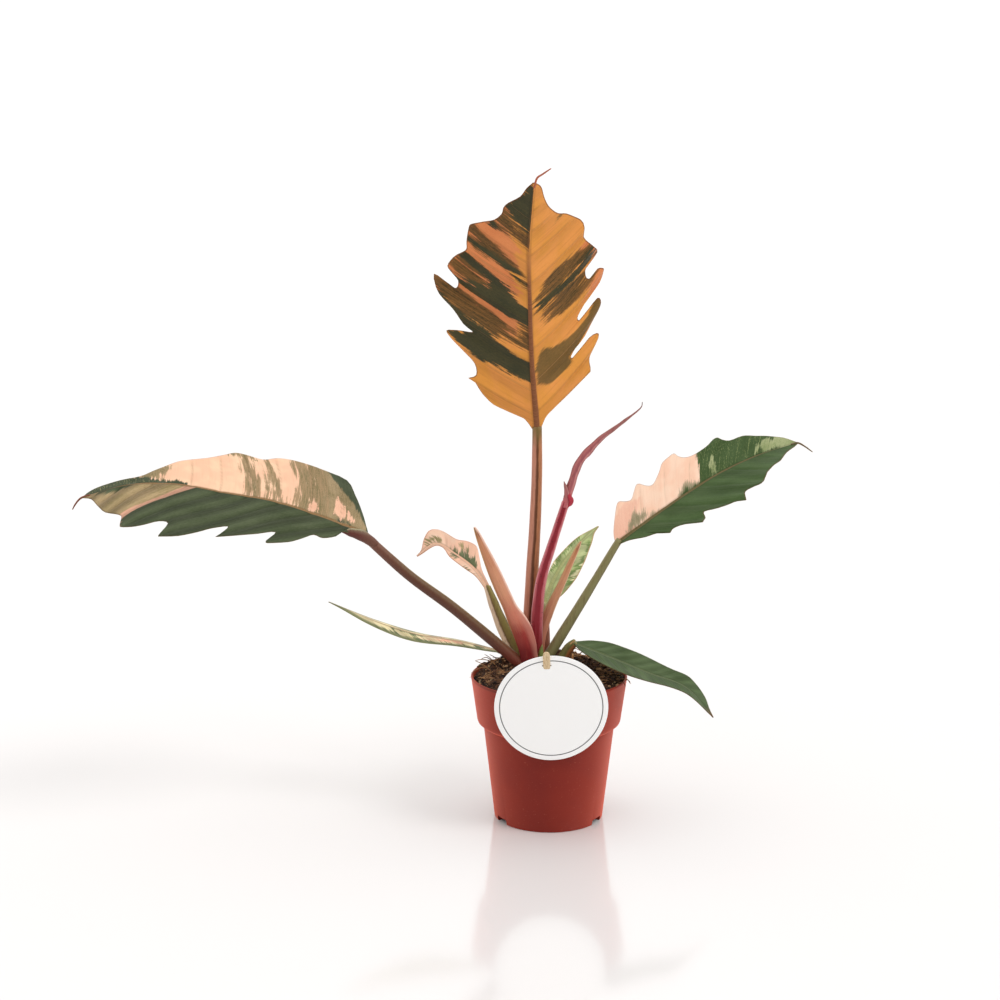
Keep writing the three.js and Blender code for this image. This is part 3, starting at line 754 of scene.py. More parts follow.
BLADES["back_left"] = Blade(
    [(-47, 24, 174), (-57, 30, 188), (-72, 35, 199), (-88, 38, 207), (-103, 36, 197)],
    [(0.3, -0.7, 0.7), (0, -0.7, 0.7)], both(4), both((0.5, 0.0)),
    ([
        (0, 2.5), (7, 3), (14, 4), (22, 6), (30, 6.5), (40, 5.5), (48, 2), (58, 2.5), (66, 2), (74, 0.7),
    ], [
        (0, 2.5), (8, 3), (16, 4.5), (23, 10), (29, 16), (34, 16), (39, 14), (44, 11), (50, 11), (57, 13),
        (61, 9), (68, 2), (74, 0.7),
    ]),
    rib=(0.7, 1.0), side_ribs=both((14, 30, 46)), quilt=0.3,
    dark=([
        [(4, 12), (7, 12), (8, 24), (5.5, 24)],
        [(0, 34), (3, 34), (3, 40), (0, 41)],
    ], [
        [(-1, 14), (5, 18), (8, 29), (4, 35), (-1, 38)],
        [(0, 43), (5, 39), (4, 35), (-1, 38)],
    ]),
    olive=([], [
        [(7, 24), (10, 28), (10, 37), (7, 36)],
        [(2, 62), (1, 52), (4, 50), (8, 54), (4, 60)],
        [(-1, 74), (4, 62), (2, 60), (-1, 60)],
    ]),
)
BLADES["back_right"] = Blade(
    [(-3, 22, 161), (6, 34, 182), (21, 46, 201), (40, 56, 217)],
    both((-0.5, -0.6, 0.6)), both(5), both((0.5, 0.0)),
    ([
        (0, 2.5), (8, 3.5), (18, 5.5), (27, 7.5), (37, 9), (46, 8), (55, 7), (63, 6), (70, 4), (80, 0.7),
    ], [
        (0, 2.5), (4, 8), (12, 15), (20, 19), (29, 21), (39, 20), (50, 17), (64, 10), (73, 3), (80, 0.7),
    ]),
    rib=(0.9, 1.8), side_ribs=both((12, 26, 42, 58)), quilt=0.3,
    dark=([
        [(4.5, 26), (9.6, 22), (10.5, 44), (9, 62), (6, 66), (3, 60), (5, 46)],
    ], [
        [(10, 52), (14, 44), (12, 24), (15, 12), (21, 12), (24, 30), (18, 40), (12, 56), (4, 64)],
        [(-1, 74), (4, 58), (2, 56), (-1, 62)],
    ]),
    cream=([
        [(7.4, 24), (8.4, 38), (7.8, 52), (9.5, 44), (10, 30)],
    ], [
        [(16, 18), (18, 30), (17, 44), (15, 52), (19, 44), (21, 30), (19, 16)],
    ]),
)
BLADES["low_left"] = Blade(
    [(-38, 8.5, 128.5), (-70, 13, 135), (-103, 17, 139.5), (-136, 20, 149.5), (-166, 22, 162)],
    both((0.25, 0.01, 0.97)), both(-8.5), both((0.7, 0.0)),
    both([(0, 4), (7, 6), (16, 8), (34, 11), (54, 14), (72, 15), (88, 13), (106, 9), (124, 4), (139, 0.7)]),
    rib=(0.8, 1.6), skews=both(-1.5), side_ribs=both((16, 40, 64, 88)), quilt=0.25,
    dark=([
        [(-1, -6), (-1, 20), (6, 14), (9, 4)],
        [(7, 10), (12, 18), (13, 40), (11, 70), (9, 92), (8, 88), (9, 60), (9, 36)],
        [(-1, 96), (-1, 52), (3, 58), (4, 70), (2, 84)],
    ], [
        [(-1, -6), (-1, 20), (6, 14), (9, 4)],
        [(5, 30), (10, 50), (8, 80), (5, 60)],
    ]),
    blush=([
        [(-1, 22), (4, 26), (8, 40), (6, 60), (3, 44), (-1, 36)],
    ], [
        [(-1, 30), (6, 40), (4, 60), (-1, 56)],
    ]),
)
BLADES["low_right"] = Blade(
    [(19, -8, 139), (47, -14, 129), (75, -21, 119), (102, -28, 110), (122, -34, 89)],
    [(0.3, -0.19, 0.93), (0.4, -0.19, 0.9)], both(5), both((0.7, 0.0)),
    ([
        (0, 3), (4, 7), (11, 14), (23, 21), (35, 23), (48, 23.5), (62, 21.5), (76, 17.5), (87, 17.5),
        (94, 15), (102, 12.5), (108, 10), (114, 5), (121, 0.7),
    ], [
        (0, 3), (5, 9), (12, 15), (27, 21), (41, 23), (51, 22.5), (62, 19.5), (74, 17), (85, 15), (96, 10),
        (108, 5), (121, 0.7),
    ]),
    rib=(1.0, 2.2), side_ribs=both((4, 14, 25, 36, 47, 58, 69, 80, 91, 102)), quilt=0.35,
)

# Label card, bare but for its ring line, and its stick
CARD_RADIUS = 42.0
CARD_THICK = 0.5
CARD_HEIGHT = 103.2
CARD_TURN = math.radians(2.4)
CARD_BOW = 1.4
RING_RADIUS = 38.0
SLOT_FROM_TOP = 7.6
SLOT_SIDE = -2.2
STICK_WIDTH = 5.2
STICK_THICK = 1.6
STICK_LENGTH = 96.0
STICK_ABOVE = 12.0
STICK_LEAN = math.radians(19)


# Materials


def wood_or_fibre(name, light, dark, scales, rough=0.7, bump=0.0001):
    """Streaks of two colours along the piece."""
    paint = Paint(name, Roughness=rough)
    streaks = paint.streaks(paint.places(), scales, 3.0)
    specks = paint.cloud(paint.places(), 900.0, 2.0)
    paint.colour = paint.blend(streaks.between(0.35, 0.65), dark, light)
    paint.coat(specks.between(0.6, 0.72) * 0.5, dark)
    return paint.finished(streaks, bump, 0.6)


# Multipliers for painted highlight and painted shade on the blades
PAINTED_HIGHLIGHT = (1.35, 1.35, 1.35, 1.0)
PAINTED_SHADE = (0.6, 0.58, 0.55, 1.0)
# How fine the noise on a blade is along its midrib and along its veins
STREAKS = (95.0, 3.4, 1.0)
TONGUES = (26.0, 3.0, 1.0)
FINE = (240.0, 50.0, 1.0)
VEINS = (75.0, 1.6, 1.0)


def leaf_paint(name, looks):
    """A blade's markings: the layers in turn, each ragged along the veins, then painted highlight and
    painted shade over its relief, painted shade in its veins' hollows and beside its midrib, its ribs and
    its margin.
    """
    gloss = looks.get("gloss", 0.25)
    paint = Paint(name + "_leaf", looks["lit"], Roughness=0.42, Specular_IOR_Level=gloss)
    flat = paint.unrolled()
    streaks = paint.streaks(flat, STREAKS, 3.0, 0.6)
    tongues = paint.streaks(flat, TONGUES, 2.0)
    fine = paint.streaks(flat, FINE, 2.0, 0.6)
    blotches = paint.cloud(flat, 14.0, 2.0)
    patches = paint.cloud(flat, 4.5, 2.0)
    ragged = (streaks - 0.5) * 7 + (tongues - 0.5) * 7 + (blotches - 0.5) * 3 + (fine - 0.5) * 3
    paint.colour = paint.blend(patches.between(0.4, 0.6), *looks["ground"])
    stains = (tongues * 0.5 + streaks * 0.5).between(0.48, 0.68) * looks.get("stains", 0.3)
    paint.coat(stains, looks["shade"])
    paint.coat(fine.between(0.5, 0.8) * 0.25, looks["shade"])
    for marking in LAYERS:
        if marking not in looks:
            continue
        mark = paint.mark(marking)
        pale, deep = looks[marking]
        worn = ragged * looks.get("calm", {}).get(marking, 1.0)
        if marking == "mixed":
            broken = mark * 0.35 + (streaks - 0.5) * 16 + (tongues - 0.5) * 16 + (fine - 0.5) * 5
            share = (broken + looks.get("dense", 0.0)).between(-2.4, 1.0)
            share = share * (mark + worn).between(-1.8, 0.6)
            depth = streaks + fine * 0.6
        else:
            share = (mark + worn).between(-0.6, 0.7)
            depth = streaks * 0.45 + patches * 0.55 + fine * 0.6
        paint.coat(share, paint.blend(depth.between(0.6, 0.98), deep, pale))
    length_share = paint.mark("length_share")
    if "flecks" in looks:
        fleck, facing, start = looks["flecks"]
        _, side, _ = paint.parts(flat)
        spots = (streaks * 0.5 + fine * 0.5).between(0.54, 0.62) * (side * facing).between(0.0, 0.02)
        spots = spots * length_share.between(start, start + 0.06)
        paint.coat(spots * paint.mark("dark").between(0.0, 2.0) * 0.7, fleck)
    rib, vein, relief_shading, margin = [paint.mark(kind) for kind in ("rib", "vein", "relief_shading", "margin")]
    off_rib = rib.between(0.0, 1.5)
    light, dark = looks.get("relief_shading_strengths", (0.5, 0.5))
    # Painted highlight on the tip's side of each side rib and painted shade on the other, standing in for
    # light on the relief
    paint.coat(relief_shading.between(0.0, 1.0) * off_rib * light, PAINTED_HIGHLIGHT, "MULTIPLY")
    paint.coat(relief_shading.between(0.0, -1.0) * off_rib * dark, PAINTED_SHADE, "MULTIPLY")
    # Painted shade in the hollows along the side veins
    vein_shade = vein.between(1.6, 0.2) * off_rib * margin.between(0.5, 8.0)
    paint.coat(vein_shade * looks.get("vein_shading", 0.5), PAINTED_SHADE, "MULTIPLY")
    line = vein.between(0.5, 0.05) * off_rib * margin.between(0.5, 6.0)
    paint.coat(line * looks.get("veining", 0.3), looks["vein"])
    wide = looks.get("edge_width", 1.0)
    edged = margin.between(wide, wide * 0.35) * looks.get("edging", 0.75)
    paint.coat(edged, looks["edge"])
    stem = paint.blend(streaks.between(0.3, 0.7), *looks["rib"])
    fade, faded = looks.get("rib_fade", (0.72, 0.95))
    stem = paint.blend(length_share.between(fade, faded) * 0.85, stem, paint.colour)
    # Painted shade along both sides of the raised midrib
    paint.coat(rib.between(1.8, 0.2) * 0.7, PAINTED_SHADE, "MULTIPLY")
    paint.coat(rib.between(0.3, -0.25), stem)
    if "tip" in looks:
        paint.coat(length_share.between(0.9, 1.0) * 0.85, looks["tip"])
    away = paint.mark("under") if looks.get("seen") != "under" else 1.0 - paint.mark("under")
    paint.coat(away * 0.3, looks["away"])
    paint.feed("Roughness", 0.38 + streaks * 0.2)
    return paint.finished(paint.streaks(flat, VEINS, 2.0) + fine * 0.25, 0.0006, 0.5)


def stalk_paint(name, across, along, rough=0.42, streak=(90, 55, 40), specks=0.0):
    """Colours across a stalk from its right (-0.3) to its left (0.3), which on some stalks hold painted
    highlights and painted shade at the outline, and others that take over along it.
    """
    paint = Paint(name, Roughness=rough, Specular_IOR_Level=0.3)
    turn, _, _ = paint.parts(paint.unrolled())
    share = paint.mark("along")
    places = paint.places()
    streaks = paint.streaks(places, (700.0, 700.0, 60.0), 3.0)
    fine = paint.cloud(places, 1400.0, 2.0)
    paint.banded(turn + (streaks - 0.5) * 0.08, across)
    for low, high, over, cover in along:
        paint.coat((share + (streaks - 0.5) * 0.1).between(low, high) * cover, over)
    paint.coat(streaks.between(0.5, 0.75) * 0.45, streak)
    if specks:
        paint.coat(paint.cloud(places, 800.0, 1.0).between(0.7, 0.74) * specks, (50, 25, 22))
    paint.feed("Roughness", rough - 0.06 + streaks * 0.16)
    return paint.finished(streaks + fine * 0.3, 0.0003, 0.5)


# Some looks set how strong the painted highlight and painted shade are, over the relief and in the veins'
# hollows
LEAF_LOOKS = {
    "tall": {
        "lit": 0.95, "ground": ((222, 150, 68), (228, 152, 78)), "shade": (188, 116, 60),
        "dark": ((78, 72, 46), (56, 58, 40)), "mixed": ((132, 92, 50), (66, 58, 34)),
        "olive": ((130, 98, 54), (108, 84, 44)), "blush": ((224, 142, 88), (212, 126, 76)),
        "vein": (232, 172, 108), "rib": ((116, 70, 42), (146, 94, 62)), "edge": (110, 62, 36),
        "away": (180, 150, 90), "seen": "under", "relief_shading_strengths": (0.14, 0.2), "stains": 0.4, "dense": 1.6,
        "calm": {"olive": 0.3}, "rib_fade": (0.5, 0.85),
    },
    "left": {
        "lit": 1.08, "gloss": 0.1, "ground": ((255, 212, 176), (252, 202, 168)), "shade": (240, 182, 148),
        "dark": ((83, 91, 67), (61, 70, 47)), "olive": ((176, 152, 116), (128, 114, 76)),
        "mixed": ((176, 146, 110), (124, 114, 76)), "blush": ((220, 170, 144), (196, 148, 122)),
        "cream": ((248, 198, 166), (236, 180, 148)), "vein": (126, 136, 104),
        "rib": ((160, 126, 88), (132, 102, 66)), "edge": (96, 70, 46), "away": (190, 180, 140),
        "relief_shading_strengths": (0.9, 0.6), "vein_shading": 0.45, "veining": 0.12, "edging": 0.5,
        "calm": {"dark": 0.6, "blush": 0.6, "olive": 0.9}, "flecks": ((186, 172, 122), -1, 0.68),
    },
    "right": {
        "lit": 1.04, "gloss": 0.1, "ground": ((255, 220, 194), (252, 208, 180)), "shade": (242, 188, 160),
        "dark": ((78, 98, 60), (60, 80, 42)), "blush": ((250, 202, 176), (242, 186, 160)),
        "olive": ((184, 166, 138), (136, 130, 98)), "cream": ((180, 184, 140), (130, 144, 92)),
        "vein": (124, 144, 100), "rib": ((122, 108, 74), (98, 88, 56)), "edge": (110, 84, 58),
        "away": (170, 170, 130), "relief_shading_strengths": (0.4, 0.25), "vein_shading": 0.15,
        "flecks": ((150, 160, 104), 1, 0.4), "veining": 0.2, "edging": 0.6,
        "calm": {"dark": 0.75, "cream": 0.6, "blush": 0.5, "olive": 0.7},
    },
    "back_left": {
        "lit": 0.94, "relief_shading_strengths": (0.15, 0.15), "ground": ((254, 208, 182), (248, 198, 170)),
        "shade": (226, 172, 138), "dark": ((110, 118, 84), (82, 96, 60)),
        "olive": ((160, 148, 104), (134, 124, 82)), "vein": (240, 206, 176),
        "rib": ((240, 196, 166), (226, 176, 144)), "edge": (204, 146, 118), "away": (200, 180, 140),
        "calm": {"dark": 0.7, "olive": 0.7},
    },
    "back_right": {
        "lit": 0.88, "ground": ((182, 190, 138), (166, 178, 120)), "shade": (142, 158, 98),
        "dark": ((118, 140, 78), (88, 116, 58)), "cream": ((226, 222, 178), (204, 204, 152)),
        "vein": (200, 206, 156), "rib": ((176, 178, 124), (150, 156, 100)), "edge": (186, 146, 104),
        "away": (160, 166, 120), "stains": 0.5, "calm": {"dark": 0.6, "cream": 0.6},
    },
    "low_left": {
        "lit": 0.95, "ground": ((236, 222, 178), (222, 206, 154)), "shade": (196, 180, 124),
        "dark": ((104, 116, 66), (78, 92, 48)), "blush": ((236, 180, 150), (222, 160, 130)),
        "vein": (236, 224, 184), "rib": ((190, 150, 110), (160, 130, 90)), "edge": (104, 112, 66),
        "edge_width": 5.5, "edging": 0.9, "away": (180, 180, 140),
    },
    "low_right": {
        "lit": 1.1, "gloss": 0.12, "ground": ((84, 102, 64), (70, 88, 50)), "shade": (60, 77, 43),
        "vein": (124, 144, 108), "rib": ((102, 114, 78), (84, 98, 62)), "edge": (96, 80, 56),
        "away": (124, 134, 98), "relief_shading_strengths": (0.4, 0.3), "vein_shading": 0.25, "tip": (110, 80, 54),
    },
}
LEAF_PAINTS = {name: leaf_paint(name, looks) for name, looks in LEAF_LOOKS.items()}

STALK_LOOKS = {
    "tall_stalk": ([
        (-0.27, (118, 80, 60)), (-0.2, (190, 130, 98)), (-0.07, (184, 122, 84)), (-0.03, (100, 60, 34)),
        (0.01, (112, 68, 44)), (0.06, (200, 138, 114)), (0.2, (194, 130, 108)), (0.26, (124, 78, 60)),
    ], [(0.9, 0.99, (128, 108, 62), 0.9), (0.2, 0.0, (150, 70, 55), 0.7)]),
    "left_stalk": ([
        (-0.3, (134, 118, 72)), (-0.14, (110, 82, 56)), (0.0, (98, 62, 48)), (0.3, (84, 52, 42)),
    ], [(0.3, 0.0, (140, 64, 54), 0.8), (0.7, 0.95, (122, 80, 66), 0.8)]),
    "right_stalk": ([
        (-0.3, (112, 104, 70)), (0.0, (136, 130, 88)), (0.3, (146, 138, 96)),
    ], [(0.16, 0.02, (108, 124, 68), 0.9)]),
    "back_left_stalk": ([
        (-0.26, (246, 226, 208)), (-0.2, (120, 106, 64)), (-0.14, (152, 142, 80)), (-0.02, (134, 118, 68)),
        (0.03, (118, 92, 60)), (0.08, (226, 200, 172)), (0.19, (220, 190, 162)), (0.24, (104, 96, 64)),
    ], [(0.2, 0.0, (170, 110, 80), 0.7)]),
    "back_right_stalk": ([
        (-0.3, (168, 112, 88)), (0.0, (146, 92, 72)), (0.3, (130, 80, 64)),
    ], [(0.62, 0.78, (172, 170, 122), 0.9)]),
    "low_left_stalk": ([(-0.3, (226, 206, 158)), (0.0, (176, 166, 108)), (0.3, (124, 130, 74))], []),
    "low_right_stalk": ([
        (-0.3, (176, 112, 72)), (-0.06, (166, 108, 68)), (0.04, (120, 116, 68)), (0.3, (128, 126, 78)),
    ], []),
    # The new stalk's pale pink bands beside its crimson middle are painted highlights, and its darker outer
    # bands are painted shade at its outline
    "new_stalk": ([
        (-0.26, (130, 60, 66)), (-0.2, (214, 146, 146)), (-0.11, (196, 104, 110)), (-0.05, (142, 36, 46)),
        (0.06, (136, 40, 50)), (0.12, (194, 96, 106)), (0.2, (216, 146, 148)), (0.26, (134, 62, 70)),
    ], [(0.5, 0.3, (146, 48, 56), 0.55), (0.3, 0.2, (134, 40, 44), 0.9)], 0.34, (160, 60, 70), 0.8),
    # The spear's paler middle band is a painted highlight, and its dark outer bands are painted shade at its
    # outline
    "spear": ([
        (-0.27, (96, 52, 54)), (-0.2, (158, 92, 94)), (-0.08, (200, 134, 130)), (-0.02, (164, 92, 96)),
        (0.1, (186, 112, 110)), (0.2, (158, 86, 86)), (0.27, (98, 50, 50)),
    ], [
        (0.22, 0.06, (200, 104, 110), 0.6), (0.45, 0.8, (150, 110, 100), 0.55),
        (0.93, 0.99, (104, 100, 98), 0.95),
    ], 0.42, (126, 62, 66)),
    "spear_fold": ([(-0.3, (150, 24, 44)), (0.0, (190, 60, 76)), (0.3, (158, 34, 50))], []),
    "left_leaf_neck": ([
        (-0.3, (172, 164, 130)), (-0.2, (150, 142, 108)), (-0.12, (112, 82, 66)), (0.0, (104, 58, 52)),
        (0.3, (80, 46, 40)),
    ], [(0.62, 0.3, (110, 72, 58), 1.0)]),
    "tall_drip": ([(-0.3, (196, 112, 78)), (0.3, (168, 84, 62))], []),
    "left_drip": ([(-0.3, (140, 84, 60)), (0.3, (112, 62, 46))], []),
    "right_drip": ([(-0.3, (132, 112, 78)), (0.3, (96, 80, 56))], []),
    "stub": ([(-0.3, (150, 160, 96)), (0.0, (120, 136, 74)), (0.3, (150, 156, 98))], []),
}
STALK_PAINTS = {name: stalk_paint(name, *looks) for name, looks in STALK_LOOKS.items()}


def sheath_paint(name, stages, edges):
    """A papery scale: colours along it, a band of painted highlight along its first side, and a thin edge of
    another colour on each side.
    """
    paint = Paint(name + "_sheath", Roughness=0.5, Specular_IOR_Level=0.3)
    flat = paint.unrolled()
    _, side, _ = paint.parts(flat)
    risen = paint.mark("length_share")
    streaks = paint.streaks(flat, (9.0, 160.0, 1.0), 3.0)
    dots = paint.cloud(paint.places(), 1100.0, 2.0).between(0.5, 0.68)
    paint.banded(risen + (streaks - 0.5) * 0.12, stages)
    paint.coat(streaks.between(0.5, 0.75) * 0.4, (150, 66, 54))
    paint.coat(dots * risen.between(0.2, 0.5) * 0.35, (206, 158, 112))
    # Painted highlight in a band along the first side
    paint.coat(side.between(0.015, 0.06) * 0.45, (226, 160, 140))
    paint.coat(side.between(-0.015, -0.045) * risen.between(0.15, 0.4) * 0.5, (150, 88, 58))
    rim = (paint.mark("margin") + (streaks - 0.5) * 1.2).between(1.9, 0.5) * risen.between(0.22, 0.4)
    paint.coat(rim * side.between(0.0, 0.001), edges[0])
    paint.coat(rim * side.between(0.0, -0.001), edges[1])
    return paint.finished(streaks, 0.0005, 0.5)


SHEATH_PAINTS = {
    "large": sheath_paint(
        "large",
        [(0.0, (84, 20, 22)), (0.13, (120, 32, 34)), (0.27, (160, 60, 54)), (0.4, (210, 126, 104)),
         (0.6, (218, 154, 120)), (0.9, (204, 140, 104)), (1.0, (116, 72, 50))],
        # The large sheath's pale first edge is a painted highlight
        [(244, 206, 186), (196, 146, 84)],
    ),
    "small": sheath_paint(
        "small",
        [(0.0, (160, 74, 62)), (0.2, (198, 128, 104)), (0.6, (210, 150, 114)), (0.9, (196, 130, 92)),
         (1.0, (146, 88, 60))],
        [(226, 184, 150), (214, 164, 120)],
    ),
}

POT_SHEEN = {"Sheen_Weight": 1.0, "Sheen_Roughness": 0.6, "Sheen_Tint": (1.0, 0.17, 0.09, 1.0)}


def pot_paint():
    """Soft red plastic with a slight turned grain, a few scuffs and pale dust, and painted shade on the
    inside of the rim and on the top of the rim at the left.
    """
    paint = Paint("pot_plastic", Roughness=0.34, Specular_IOR_Level=0.2, **POT_SHEEN)
    places = paint.places()
    turned = paint.streaks(places, (40.0, 40.0, 900.0), 2.0)
    scuffs = paint.streaks(places, (120.0, 120.0, 500.0), 4.0, 0.7)
    clouds = paint.cloud(places, 28.0, 3.0)
    dust = paint.cloud(places, 700.0, 2.0)
    paint.colour = paint.blend(clouds.between(0.35, 0.65), (105, 26, 12), (114, 31, 15))
    paint.coat(dust.between(0.66, 0.76) * 0.3, (196, 120, 96))
    x, y, z = paint.parts(places)
    # Painted shade: the inside of the rim and the top of the rim at the left are darkened
    inside = ((x * x + y * y) ** 0.5).between(0.0594, 0.0586) * z.between(0.108, 0.1095)
    lip = z.between(0.1092, 0.1104) * x.between(-0.01, -0.045)
    paint.coat((inside + lip).between(0.0, 1.0) * 0.85, (58, 22, 20))
    paint.feed("Roughness", 0.3 + scuffs * 0.14)
    return paint.finished(turned + dust * 0.3, 0.00012, 0.35)


def soil_paint(name, dark, light, flecks, tinted=False):
    """Dark to light in clumps, with flecks. Where tinted, each crumb is lighter or darker as a whole."""
    paint = Paint(name, Roughness=0.95)
    places = paint.places()
    coarse = paint.cloud(places, 210.0, 4.0, 0.65)
    grit = paint.cloud(places, 900.0, 3.0, 0.7)
    paint.colour = paint.blend((coarse + grit * 0.5).between(0.6, 0.95), dark, light)
    if tinted:
        tint = paint.mark("tint")
        paint.coat(tint.between(0.4, 0.0) * 0.7, dark)
        paint.coat(tint.between(0.82, 0.9), flecks)
    else:
        paint.coat(grit.between(0.68, 0.75), flecks)
    return paint.finished(grit + coarse, 0.0012, 0.9)


def card_paint():
    """White card with one dark ring line, and the slot that its stick goes through, drawn as a dark line of
    painted shade. Its faint glow is painted light that brightens it.
    """
    paint = Paint("card", Roughness=0.55, Emission_Color=(1.0, 1.0, 1.0, 1.0), Emission_Strength=0.065)
    x, z, _ = paint.parts(paint.unrolled())
    far = (x * x + z * z) ** 0.5 * UV_UNIT
    fibres = paint.cloud(paint.places(), 500.0, 3.0)
    paint.colour = paint.blend(fibres.between(0.3, 0.7), (255, 255, 254), (252, 252, 250))
    line = abs(far - RING_RADIUS).between(0.52, 0.28)
    paint.coat(line * paint.mark("front") * 0.95, (36, 38, 42))
    # The slot is a dark line of painted shade
    beside = abs(x * UV_UNIT - SLOT_SIDE).between(3.6, 3.2)
    level = abs(z * UV_UNIT - (CARD_RADIUS - SLOT_FROM_TOP)).between(0.7, 0.35)
    paint.coat(beside * level, (84, 66, 54))
    return paint.finished(fibres, 0.00005, 0.3)


def floor_paint():
    paint = Paint("floor", Roughness=0.12, IOR=2.2)
    tone = paint.cloud(paint.places(), 3.0, 2.0)
    paint.feed("Base Color", paint.blend(tone, (240, 237, 236), (239, 236, 235)))
    return paint


# The pieces

for name, blade in BLADES.items():
    blade.piece(name + "_leaf", LEAF_PAINTS[name], "leaf_" + name, ["blade_" + name])

# Drip tips: the threads that leaves end in
DRIPS = {
    "tall": [(-14, -56.5, 479), (-12, -59, 486), (-8, -61, 489), (-2, -64, 493)],
    "left": [(-338, -33.6, 258), (-345, -34, 256), (-349, -35, 252), (-352, -35, 247)],
    "right": [(193, 72, 280), (199, 75, 281), (205, 77, 278), (212, 78, 273)],
}
for name, points in DRIPS.items():
    round_piece(name + "_drip", "leaf_" + name, [], (points, grooved([0.8, 0.8, 0.65, 0.4]), 10, 0.8))

# Stalks of the leaves
STALKS = {
    "tall": (
        [(-17, 8, 112), (-15, 6.5, 154), (-13, 4, 194), (-11, 1, 233), (-10, -3, 268), (-10, -6, 302),
         (-10.2, -6.6, 306)],
        grooved([5.2, 5.0, 4.8, 4.4, 4.0, 3.6], 0.14, 0.0, 0.05),
    ),
    "left": (
        [(-11, -7, 113), (-43, -9, 141.2), (-74, -11, 168), (-106, -13, 192.8), (-137, -14, 221.4),
         (-141, -14.4, 224)],
        grooved([4.7, 4.5, 4.2, 3.9, 3.5], 0.05, 0.12, 0.09),
    ),
    "right": (
        [(-8, 2, 113), (7, 4, 138), (22, 6, 162.5), (37, 8, 187.5), (52, 10, 213), (55, 11.4, 215)],
        grooved([4.4, 4.1, 3.6, 3.1, 2.7], 0.05, -0.1, 0.09),
    ),
    "back_left": (
        [(-18, 4, 113), (-25, 8, 126.5), (-33, 13, 141), (-40, 18, 156.5), (-47, 24, 174), (-48.4, 25, 177)],
        grooved([4.8, 5.0, 5.2, 4.2, 2.7], 0.3, 0.02, 0.085),
    ),
    "back_right": (
        [(-4, 7, 112), (-2, 12, 130), (-2, 17, 146), (-3, 22, 161), (-2.6, 22.8, 164)],
        grooved([3.4, 3.0, 2.7, 2.4], 0.1, 0.05, 0.08),
    ),
    "low_left": (
        [(-21, 5, 112), (-26, 6.5, 121), (-31, 7.5, 126.6), (-38, 8.5, 128.6), (-41, 9, 129.2)],
        grooved([3.0, 2.8, 2.6, 2.2]),
    ),
    "low_right": (
        [(5, -1, 113), (10, -3, 124), (14, -5, 133), (19, -8, 139), (21, -8.6, 138.6)],
        grooved([4.6, 4.6, 4.0, 3.0], 0.16, 0.0, 0.06),
    ),
    "new": (
        [(-10, -3, 112), (-10, -4, 140), (-9, -5, 167), (-6, -6, 190), (1, -8, 214), (11, -8, 246),
         (12, -8, 249)],
        grooved([4.8, 4.8, 4.7, 4.2, 3.7, 3.3, 3.0], 0.16, 0.0, 0.06),
    ),
}
for name, strand in STALKS.items():
    round_piece(name + "_stalk", "stalk_" + name, ["petiole_" + name], strand)

NECK = [
    (-129, -13.8, 215.2), (-136, -15.6, 220.8), (-141, -17.5, 224.4), (-149, -19, 227), (-156.5, -20, 227.6),
]
round_piece("left_leaf_neck", "stalk_left", [], (NECK, grooved([2.9, 3.8, 4.3, 3.3, 0.4])))
STUB = [(-7, 15.5, 112), (-6, 16, 126), (-4.4, 16.6, 139)]
stub_radius = grooved([3.0, 2.9, 2.1, 0.6], 0.2, 0.0, 0.1)
round_piece("green_stub", "stalk_green", ["stub_green"], (STUB, stub_radius), paint="stub")
SCALE = [(-6.2, -5.5, 121), (-6.6, -8.2, 130), (-5.4, -8.8, 138.5)]
scale_radius = grooved([2.6, 2.6, 1.8, 0.4], 0.2, 0.0, 0.1)
round_piece("green_scale", "stalk_green", [], (SCALE, scale_radius), paint="stub")

# The new leaf's blade, rolled to a spear with one lobe of it standing off and a fold open beside it
SPEAR = [
    (10.6, -8, 243.5), (13.4, -8, 253), (16, -8, 262), (22, -8, 279), (36, -8, 295), (47, -8, 303.5),
    (57, -8, 311), (65, -8, 317.4), (67.6, -8, 320.6), (68, -8, 324),
]
SPEAR_RADII = [2.9, 2.8, 2.9, 3.0, 2.8, 2.2, 1.7, 1.2, 0.65, 0.3]
LOBE = [(13, -8.4, 250), (12.4, -9.8, 255), (11.5, -10.8, 259.5), (10, -11.2, 264.5)]
FOLD = [
    (12.8, -9.8, 257), (14.4, -10.4, 252.6), (15.6, -10.4, 249.6), (15.2, -10, 247.4), (13.2, -9.4, 244.6),
]


def rolled(share, turn):
    """The spear's radius: its outer edge winds round it as a low step."""
    wind = (turn + 0.5 + 1.4 * share + 0.08) % 1.0
    step = 0.2 * math.exp(-wind / 0.12) - 0.14 * math.exp(-(1 - wind) / 0.05)
    bumps = 0.05 * math.sin(share * 46) * math.exp(-((share - 0.3) / 0.25) ** 2)
    return through(SPEAR_RADII, share) * (1 + step + bumps)


lobe_radius = grooved([2.6, 2.1, 1.4, 0.4], 0.25, 0.0, 0.1)
round_piece("spear", "leaf_new", ["blade_new"], (SPEAR, rolled, 48, 0.8), (LOBE, lobe_radius, 16, 0.6))
fold_radius = grooved([0.5, 1.5, 2.0, 1.6, 0.5], 0.3, 0.0, 0.1)
round_piece("spear_fold", "leaf_new", [], (FOLD, fold_radius, 16, 0.5))

